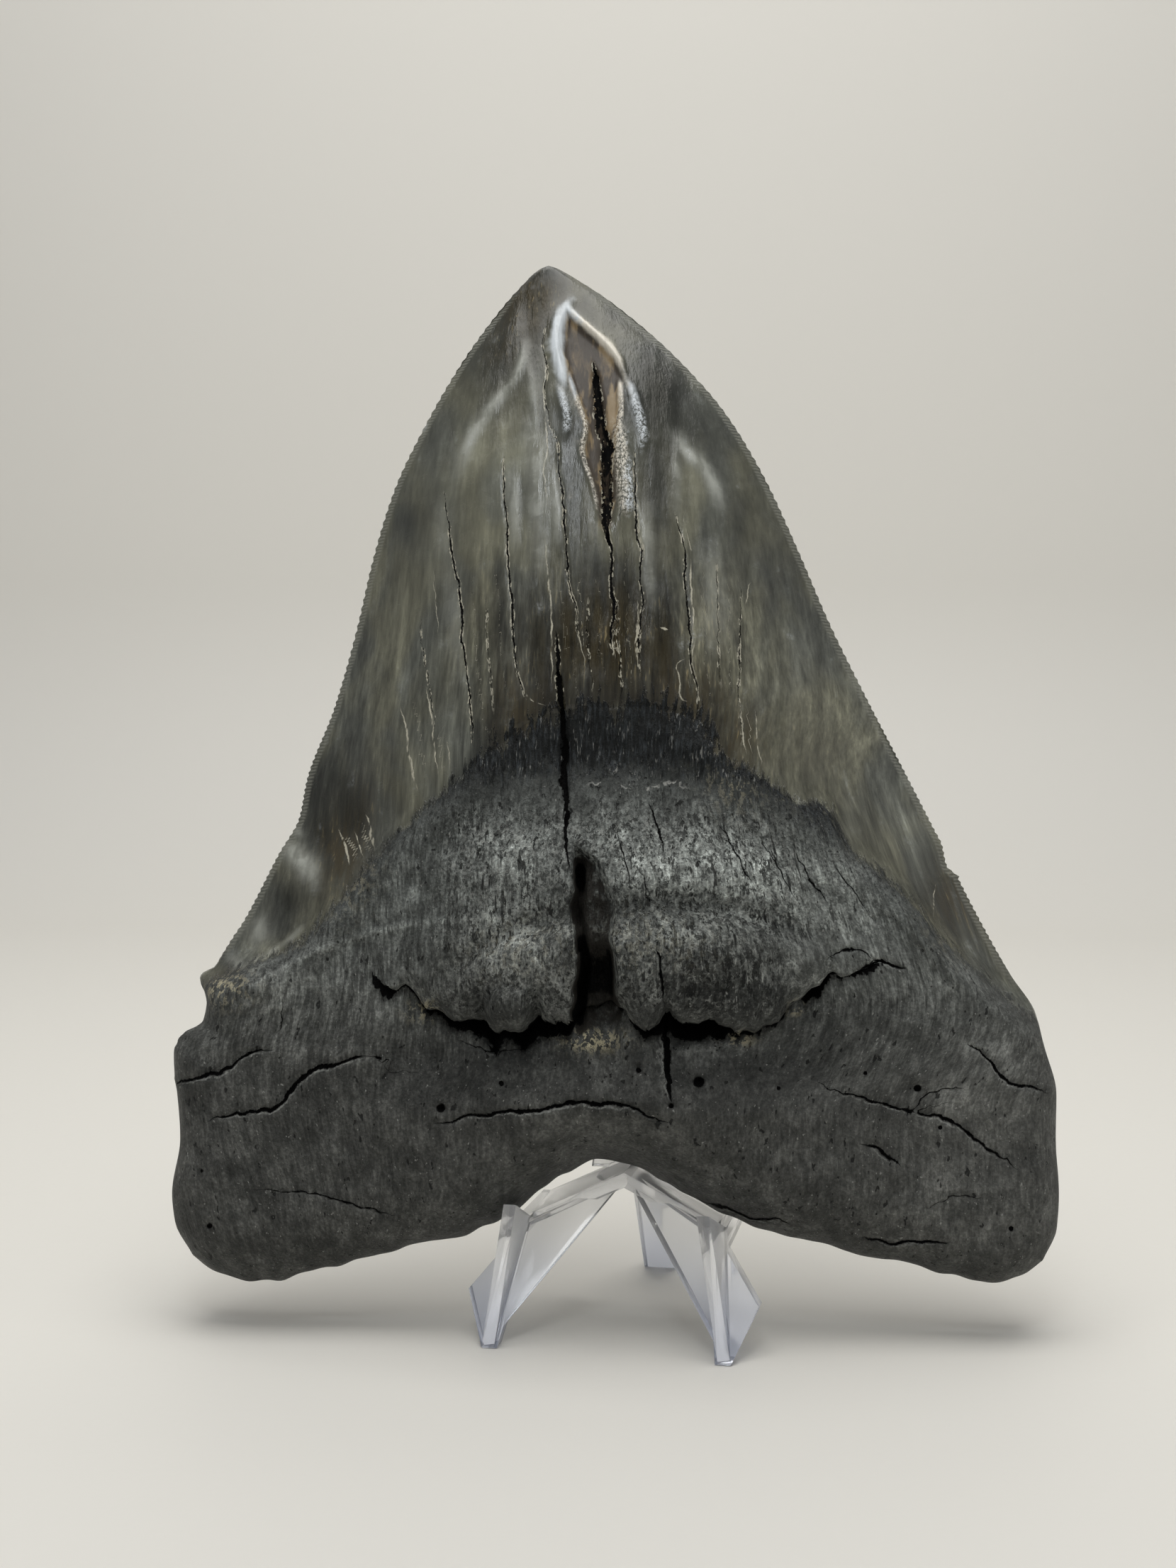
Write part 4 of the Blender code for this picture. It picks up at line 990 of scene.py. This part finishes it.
def paintEnamel(grain, at):
    # slow clouds and soft bands down the blade, finer and stronger towards the root, on a tone that carries
    # painted highlights and shade;
    # a ticked bead on the cutting edges; a painted highlight along the ridges; rims with a painted highlight,
    # and brown dentine, at the worn place
    x, v, tone, warm = at["x"], at["v"], at["tone"], at["warm"]
    cloud = noiseOf(grain, 11.0, 2.0, length=2.0, warp=0.6)
    mottle = noiseOf(grain, 3.0, 3.0, warp=0.3)
    broad = noiseOf(grain, 2.2, 2.0, length=9)
    streak = noiseOf(grain, 0.9, 3.0, length=12)
    hair = noiseOf(grain, 0.38, 2.0, length=14)
    low = v.fade(116, 86) * x.fade(-26, -12, 0.35, 1.0) * x.fade(12, 26, 1.0, 0.35)
    atRoot = (at["enamel"] + broad.swing(9.0)).fade(7.0, 0.0) * x.fade(-22, -14) * x.fade(20, 12)
    # tone brings painted highlights, reflections and shade into the enamel's lightness, beside its own tone
    light = tone + cloud.swing(1.5) + mottle.swing(0.5) + broad.swing(low * 2.6 + 1.8)
    light = light + streak.swing(low * 3.6 + 0.8) + hair.swing(low * 3.0 + 0.6)
    light = light + toothFinish["enamelTone"] - atRoot * 2.0
    base = mix((cloud + tone * 0.12).fade(0.35, 0.62), toothPaint["coolGrey"], toothPaint["olive"])

    node = addNode(grain.tree, "TexWave", {"Vector": grain, "Scale": 0.62, "Distortion": 2.5, "Detail": 1.0,
                                           "Detail Scale": 1.5}, bands_direction="Y")
    ticks = Field(grain.tree, node.outputs["Fac"])
    bead = at["rim"].fade(1.25, 0.75) * at["enamel"].fade(1.5, 5.0) * v.fade(150, 143)
    bead = bead * ticks.fade(0.1, 0.9, 0.15, 0.60)
    enamel = layered(stops(base, light), [
        ((warm * streak.fade(0.36, 0.60, 0.35, 1.0)).heldShare(0.9), "brown"),
        (warm * hair.fade(0.60, 0.70) * broad.fade(0.45, 0.6) * 0.45, "gold"),
        # painted highlight along the crown's ridges
        (at["ridge"] * (broad + mottle - 0.5).fade(0.30, 0.66, 0.45, 1.0) * 0.8, "sheen"),
        (bead, "edgeBead"),
    ])

    # painted highlight on the rims round the worn place: smooth and bluish round the top left, thin and cream
    # on the right, crumbly below; the cream and the crumbly grit are partly the pale edge's own colour
    bare = at["bare"] + (mottle.swing(1.2) + hair.swing(0.8))
    crumbly = noiseOf(grain, 0.38, 3.0, 0.75, length=1.3)
    upper = v.fade(127, 132)
    inside = bare.fade(-0.5, 0.6)
    dentine = mix((streak + (broad - 0.5)).fade(0.42, 0.66), toothPaint["dentineDark"], toothPaint["dentine"])
    dentine = layered(dentine, [(bare.fade(0.7, 2.0) * v.fade(130, 137) * 0.8, "dentineDark")])
    enamel = mix(inside * 0.95, enamel, dentine)
    grit = mixNumbers(upper, crumbly.fade(0.40, 0.62, 0.0, 1.35), streak.fade(0.3, 0.6, 0.8, 1.1))
    glow = (at["shine"] * 1.15 + mottle.swing(0.9) + broad.swing(0.8)).fade(0.12, 1.0)
    glow = (glow * grit).heldShare(0.95)
    cream = (x + mottle.swing(5.0)).fade(-6.6, -5.0) * (x + mottle.swing(4.0)).fade(2.6, 1.4)
    enamel = mix(glow, enamel, mix(cream, toothPaint["paintedShinePale"], toothPaint["creamEdgeAndShine"]))
    height = hair * 0.10 + streak * 0.14 + broad * 0.12 + mottle * 0.06 + bead * 0.08
    height = height + glow * (crumbly - 0.5) * 0.5 * upper.fade(1.0, 0.0)
    gloss = mottle.fade(0.30, 0.70, *toothFinish["enamelRoughness"])
    return enamel, height, mixNumbers(inside, gloss, toothFinish["dentineRoughness"])


def paintBourlette(grain, at, fibre, cloud, patch):
    # the nearly black band over the root with a few bright ticks of painted glint, and how far it covers the
    # root
    strand = noiseOf(grain, 0.42, 3.0, 0.65, length=8, warp=0.2)
    tick = noiseOf(grain, 0.34, 2.0, 0.7, length=8)
    light = strand.fade(0.36, 0.68, -1.3, 2.2) + cloud.fade(0.35, 0.65, -0.5, 0.5)
    ticks = tick.fade(0.58, 0.70) * (cloud + patch - 0.5).fade(0.46, 0.60) * 0.5
    band = layered(stops(toothPaint["band"], light), [(ticks, "glintAndPaleCrumb")])
    return band, (at["foot"] + fibre.swing(9.0) + cloud.swing(7.0)).fade(-1.0, 4.0)


def paintRoot(grain, at):
    # charcoal with fine grain and upright fibres, cooler further up; the boss is lighter, partly painted
    # light on its raised tops, and gritty with pale grains, brightest where that painted light is, and black
    # gaps; sparse painted glints all over
    x, v, boss, rootTone = at["x"], at["v"], at["boss"], at["rootTone"]
    fibre = noiseOf(grain, 0.55, 3.0, 0.65, length=7, warp=0.2)
    fine = noiseOf(grain, 0.42, 4.0, 0.75)
    speck = noiseOf(grain, 0.9, 3.0, 0.7, length=1.5)
    patch = noiseOf(grain, 7.0, 3.0)
    cloud = noiseOf(grain, 2.4, 3.0, 0.65, length=1.4)
    # rootTone holds painted light on the boss's tops and painted shade in its crease and low down, besides
    # the root's own tone; the boss is lifted further, partly as painted light
    light = rootTone + patch.fade(0.3, 0.7, -0.4, 0.4) + cloud.fade(0.32, 0.68, -0.45, 0.45)
    light = light + boss * 0.3 + toothFinish["rootTone"]
    leftMore = x.fade(-14, -32, 1.0, 1.2)
    upright = v.fade(22, 42, 0.38, 0.58) * leftMore
    light = light + speck.fade(0.36, 0.64, -0.7, 0.7) * (boss * 0.45 + 0.25)
    light = light + fibre.fade(0.36, 0.64, -1.0, 1.0) * upright
    light = light + fine.fade(0.36, 0.64, -0.85, 0.85) * (boss * 0.3 + 0.45) * leftMore
    base = mix(v.fade(22, 58), toothPaint["rootWarm"], toothPaint["rootCool"])

    # pale grains, strongest where the painted light on the boss is
    grains = noiseOf(grain, 0.50, 3.0, 0.7, length=1.3).fade(0.47, 0.64) * boss * rootTone.fade(-0.5, 1.1)
    gaps = noiseOf(grain, 0.75, 3.0, 0.75, length=1.6, warp=0.3).fade(0.54, 0.59)
    gaps = gaps * (boss * patch.fade(0.4, 0.6, 0.6, 1.0) + 0.15)
    splits = noiseOf(grain, 0.75, 2.0, 0.6, length=9).fade(0.59, 0.64) * v.fade(36, 40)
    splits = splits * cloud.fade(0.40, 0.56)
    lowFace = boss * v.fade(49, 46) * x.fade(6, 12)
    creases = noiseOf(grain, 0.8, 3.0, 0.7, length=6).fade(0.53, 0.58) * lowFace
    gaps = gaps.orMore(splits * (boss * 0.6 + 0.75)).orMore(creases * 1.35)
    strokes = noiseOf(grain, 0.55, 2.0, 0.6, length=5).fade(0.57, 0.65) * cloud.fade(0.40, 0.54) * lowFace
    pores = noiseOf(grain, 1.1, 2.0, 0.7, length=2.0).fade(0.66, 0.70)
    crumbs = at["warm"] * speck.fade(0.50, 0.56) * fine.fade(0.36, 0.52, 0.3, 1.0)
    root = layered(stops(base, light), [
        (grains * cloud.fade(0.38, 0.60, 0.25, 0.60), "rootPale"),
        (strokes * 0.65, "rootPale"),
        ((gaps * 0.66).held(), "black"),
        (pores * 0.85, "black"),
        # sparse painted glints
        (noiseOf(grain, 0.40, 1.0, length=1.5).fade(0.70, 0.78) * 0.5, "glintAndPaleCrumb"),
        (crumbs.heldShare(0.95), "crumb"),
    ])
    band, covered = paintBourlette(grain, at, fibre, cloud, patch)
    root = mix(covered, root, band)

    # pale crumbs along the band's foot, in the middle of the front
    crumbs = (at["foot"] + patch.swing(6.0) + cloud.swing(3.0)).size().fade(0.26, 0.06)
    crumbs = crumbs * cloud.fade(0.48, 0.56) * x.fade(-4.0, -1.0) * x.fade(12.0, 9.0) * at["isFront"]
    root = layered(root, [(crumbs * 0.75, "glintAndPaleCrumb")])
    height = fibre * (upright * 0.8 + 0.1) + fine * (boss * 0.3 + 0.3) + speck * (boss * 0.5 + 0.3)
    height = height + cloud * 0.45 - gaps * 0.45 - pores * 0.45
    return root, height, fibre.fade(0.3, 0.7, *toothFinish["rootRoughness"])


def pitMasks(tree, wander):
    # 1 inside any of the pits: a distance to each one's centre, shaken by a noise
    masks = None
    for x, v, radius in pits:
        centre = {0: readVector(tree, "plane"), 1: (x, v, 1.0)}
        spot = addNode(tree, "VectorMath", centre, operation="DISTANCE")
        mask = (Field(tree, spot.outputs["Value"]) + wander * 0.4).fade(radius * 1.1, radius * 0.8)
        masks = mask if masks is None else masks.orMore(mask)
    return masks


def paintTooth(piece):
    # enamel over root with a ragged edge between them, then every crack, thread and pit, and painted shade in
    # the pocket and in the hollow under the lip
    material, tree, shader = startMaterial("fossilEnamelAndRoot")
    grain = readVector(tree, "grain")
    at = {}
    for name, parts in fieldNames.items():
        at.update(zip(parts, splitUp(readVector(tree, name))))
    x, slot, crownHalf, rootHalf = at["x"], at["slot"], at["crownHalf"], at["rootHalf"]
    enamel, enamelHeight, gloss = paintEnamel(grain, at)
    root, rootHeight, dull = paintRoot(grain, at)
    fray = noiseOf(grain, 1.2, 4.0, 0.7, length=4.5, warp=0.3)
    ragged = x.fade(-26, -12, 0.3, 1.0) * x.fade(10, 20, 1.0, 0.3)
    onEnamel = (at["enamel"] + fray.fade(0.25, 0.75, -3.4, 3.4) * ragged).fade(-0.5, 0.9)

    # cracks and mineral threads of the crown; the pale edges along the cracks are partly mineral and partly a
    # painted highlight
    jag = noiseOf(grain, 1.6, 3.0, 0.7)
    wander = jag.swing(1.3)
    crumbly = noiseOf(grain, 0.55, 2.0, 0.7, length=2.0)
    cracked = crownHalf.fade(0.01, 0.04)
    width = crownHalf * (crumbly * 1.4 + 0.3) + crumbly.swing(0.16)
    crownLine = lineMask(at["crownOff"], width, wander * 0.5, 0.06) * cracked
    edges = lineMask(at["crownOff"], crownHalf * 1.1 + 0.20, wander * 0.5, 0.10) * cracked
    inEnamel = at["enamel"].fade(0.5, 3.0)
    edges = edges * noiseOf(grain, 0.6, 2.0, 0.7, length=2.4).fade(0.50, 0.58) * inEnamel
    thread = lineMask(at["threadOff"], at["threadHalf"] * (crumbly * 2.0 + 0.25), wander * 0.35, 0.10)
    thread = thread * noiseOf(grain, 0.9, 2.0, 0.7, length=3.5).fade(0.36, 0.54) * inEnamel
    inSplit = crownLine * crownHalf.fade(0.45, 0.65) * at["v"].fade(100, 106)

    # cracks and pits of the root, a painted highlight along one side of each crack, and painted shade in the
    # pocket and in the hollow under the lip
    rootLine = lineMask(at["rootOff"], rootHalf * (crumbly * 1.6 + 0.2), wander * 0.45, 0.09)
    rootLine = rootLine * rootHalf.fade(0.01, 0.04)
    litEdge = lineMask(at["rootOff"] + rootHalf + 0.18, rootHalf * 0.5 + 0.05, wander * 0.55, 0.16)
    litEdge = litEdge * rootHalf.fade(0.05, 0.25)
    shaken = slot + jag.swing(0.35)
    # painted shadow in the hollow under the lip, and painted shade reaching a little below it
    hollow = (at["hollow"] + jag.swing(2.4) + crumbly.swing(1.4)).fade(-0.1, 0.35)
    shade = (at["hollow"] + jag.swing(1.6)).fade(-1.3, 0.5) * 0.6
    pitMask = pitMasks(tree, wander)
    dark = rootLine.orMore(pitMask).orMore(hollow).orMore(shade)
    colour = layered(mix(onEnamel, root, enamel), [
        # pale crack edges: partly mineral, partly painted highlight
        (edges * 0.85, "thread"),
        (thread * 0.9, "thread"),
        (crownLine, "black"),
        (inSplit * fray.fade(0.50, 0.66) * 0.8, "dentineDark"),
        (inSplit * crumbly.fade(0.62, 0.72) * 0.6, "crumb"),
        (litEdge * crumbly.fade(0.35, 0.6) * 0.45, "rootPale"),
        # painted shade in the pocket, darkest along its left wall and in its lower part
        (shaken.fade(0.18, 0.34) * 0.95, "pocket"),
        (shaken.fade(0.60, 0.72), "black"),
        # black over the cracks and pits, and as painted shadow in the hollow under the lip
        (dark, "black"),
    ])

    # the enamel's shine is dimmed where the tone is darkest, so the painted shade there stays dark
    enamelShine = mix(at["tone"].fade(-0.7, -2.3), toothPaint["fullShine"], toothPaint["dimShine"])
    shine = mix(onEnamel, toothPaint["rootShine"], enamelShine)
    lines = crownLine.orMore(rootLine).orMore(pitMask)
    height = mixNumbers(onEnamel, rootHeight, enamelHeight) - lines * toothFinish["lineDepth"]
    wire(shader, {
        "Base Color": colour,
        # no shine over cracks, pits and the painted shade of the hollow and the pocket
        "Specular Tint": layered(shine, [(dark.orMore(crownLine).orMore(slot), "black")]),
        "Roughness": mixNumbers(onEnamel, dull, gloss).orMore(lines * toothFinish["crackRoughness"]),
        "Normal": bump(height, toothFinish["bump"] * mm),
    })
    setInputs(shader, {"IOR": toothFinish["index"]})
    piece.data.materials.append(material)


fossil = makeTooth()
paintTooth(fossil)
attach(fossil, "root")
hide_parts("tooth")

# the stand: a copy of its solid with the moulding's softly rounded edges

standLook = {
    "edge": 0.28, "edgeAngle": radians(25),    # rounding in mm, and the corners that get it
    "tint": (0.985, 0.99, 1.0, 1), "footTint": (0.84, 0.88, 1.0, 1),
    "roughness": 0.09, "clear": 0.80, "index": 1.49,
    "ripple": 11.0, "rippleDepth": 0.25,
}


def makeStand():
    # the solid's loose triangles merged, its flat faces made whole, then its corners bevelled
    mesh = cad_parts["stand"].data.copy()
    mesh.name = "clearStand"
    bm = bmesh.new()
    bm.from_mesh(mesh)
    bmesh.ops.remove_doubles(bm, verts=bm.verts[:], dist=0.00002)
    bmesh.ops.dissolve_limit(bm, angle_limit=radians(1.0), verts=bm.verts[:], edges=bm.edges[:])
    bm.to_mesh(mesh)
    bm.free()
    mesh.shade_smooth()
    mesh.materials.clear()
    piece = putInScene("clearStand", mesh)
    soft = piece.modifiers.new("rounded edges", "BEVEL")
    soft.width = standLook["edge"] * mm
    soft.segments = 2
    soft.limit_method = "ANGLE"
    soft.angle_limit = standLook["edgeAngle"]
    soft.harden_normals = True
    print("stand:", len(mesh.polygons), "faces before rounding")
    return piece


def paintStand(piece):
    # clear plastic, bluer at the feet, with a faint ripple
    material, tree, shader = startMaterial("clearAcrylic")
    where = objectMillimetres(tree)
    height = splitUp(where)[2]
    wire(shader, {
        "Base Color": mix(height.fade(2.0, 16.0), standLook["footTint"], standLook["tint"]),
        "Normal": bump(noiseOf(where, standLook["ripple"], 1.0), standLook["rippleDepth"] * mm, 0.5),
    })
    setInputs(shader, {"Roughness": standLook["roughness"], "IOR": standLook["index"],
                       "Transmission Weight": standLook["clear"]})
    piece.data.materials.append(material)


easel = makeStand()
paintStand(easel)
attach(easel, "root")
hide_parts("stand")

# floor that sweeps up into the backdrop, soft lights, camera

studio = {
    "front": -1500.0, "halfWidth": 1500.0, "top": 900.0,
    "bendStart": 400.0, "bendRadius": 120.0,   # far enough back to see the piece from behind
    "gap": 0.1,                    # of the floor under the stand's feet
    "floorTint": (0.82, 0.80, 0.745, 1), "floorRoughness": (0.52, 0.62),
    "roomTint": (0.9, 0.93, 1.0, 1), "roomLight": 0.21,
}


def makeSweep():
    # a profile carried across: flat floor, quarter circle, upright wall
    radius, start = studio["bendRadius"], studio["bendStart"]
    turn = np.linspace(0, np.pi / 2, 33)
    y = np.concatenate([[studio["front"]], start + radius * np.sin(turn), [start + radius]])
    z = np.concatenate([[0.0], radius * (1 - np.cos(turn)), [studio["top"]]]) - studio["gap"]
    across = np.linspace(-studio["halfWidth"], studio["halfWidth"], 9)
    x, _ = np.meshgrid(across, y, indexing="ij")
    points = np.stack([x, np.broadcast_to(y, x.shape), np.broadcast_to(z, x.shape)], -1) * mm
    mesh = bpy.data.meshes.new("studioSweep")
    index = np.arange(x.size).reshape(x.shape)
    mesh.from_pydata(points.reshape(-1, 3).tolist(), [], ringFaces(index, False).tolist())
    mesh.shade_smooth()
    material, tree, shader = startMaterial("palePaper")
    fibre = noiseOf(objectMillimetres(tree), 1.1)
    wire(shader, {"Roughness": fibre.fade(0.3, 0.7, *studio["floorRoughness"])})
    setInputs(shader, {"Base Color": studio["floorTint"]})
    mesh.materials.append(material)
    sweep = putInScene("studioSweep", mesh)


lights = {                         # size, power, place and aim in mm, colour
    "ceilingPanel": ((540, 460), 2.65, (-10, -40, 620), (0, 10, 0), (1.0, 0.985, 0.955)),
    "tipLamp": ((150, 110), 0.38, (-30, -400, 590), (-5, 10, 130), (0.93, 0.97, 1.0)),
    "leftWall": ((260, 420), 0.03, (-480, -130, 230), (0, 0, 90), (1.0, 0.99, 0.97)),
    "rightWall": ((260, 420), 0.12, (480, -130, 230), (0, 0, 90), (1.0, 0.98, 0.94)),
    "frontRoom": ((500, 300), 0.03, (60, -700, 260), (0, 0, 60), (1.0, 0.97, 0.92)),
    "backdropPanel": ((760, 200), 0.66, (0, 330, 640), (0, 520, 200), (1.0, 0.99, 0.97)),
}


def makeLights():
    # rectangular panels, each turned to its aim, and an even light from all round
    for name, (size, power, at, aim, colour) in lights.items():
        lamp = bpy.data.lights.new(name, "AREA")
        lamp.shape = "RECTANGLE"
        lamp.size, lamp.size_y = size[0] * mm, size[1] * mm
        lamp.energy = power
        lamp.color = colour
        thing = putInScene(name, lamp)
        thing.location = Vector(at) * mm
        thing.rotation_euler = (Vector(aim) - Vector(at)).to_track_quat("-Z", "Y").to_euler()
    world = bpy.data.worlds.new("softRoom")
    world.use_nodes = True
    setInputs(world.node_tree.nodes["Background"],
              {"Color": studio["roomTint"], "Strength": studio["roomLight"]})
    bpy.context.scene.world = world


view = {
    "lens": 48.82, "sensor": 36.0, "distance": 308.08, "pitch": radians(4), "azimuth": radians(3),
    "aim": (-3.34, -0.8, 77.80),
}


def makeCamera():
    # stands away from its aim, up by the pitch and round by the azimuth, and looks back at it
    camera = putInScene("photoView", bpy.data.cameras.new("photoView"))
    camera.data.lens, camera.data.sensor_width = view["lens"], view["sensor"]
    camera.data.sensor_fit = "AUTO"
    camera.data.clip_start, camera.data.clip_end = 0.01, 10.0
    away, pitch, azimuth = view["distance"], view["pitch"], view["azimuth"]
    x, y, z = view["aim"]
    camera.location = ((x + sin(azimuth) * away) * mm, (y - cos(azimuth) * away) * mm,
                       (z + tan(pitch) * away) * mm)
    camera.rotation_euler = (np.pi / 2 - pitch, 0.0, azimuth)
    bpy.context.scene.camera = camera


makeSweep()
makeLights()
makeCamera()
bpy.context.scene.view_settings.view_transform = "Standard"
print("studio: sweep, lights and camera in place")
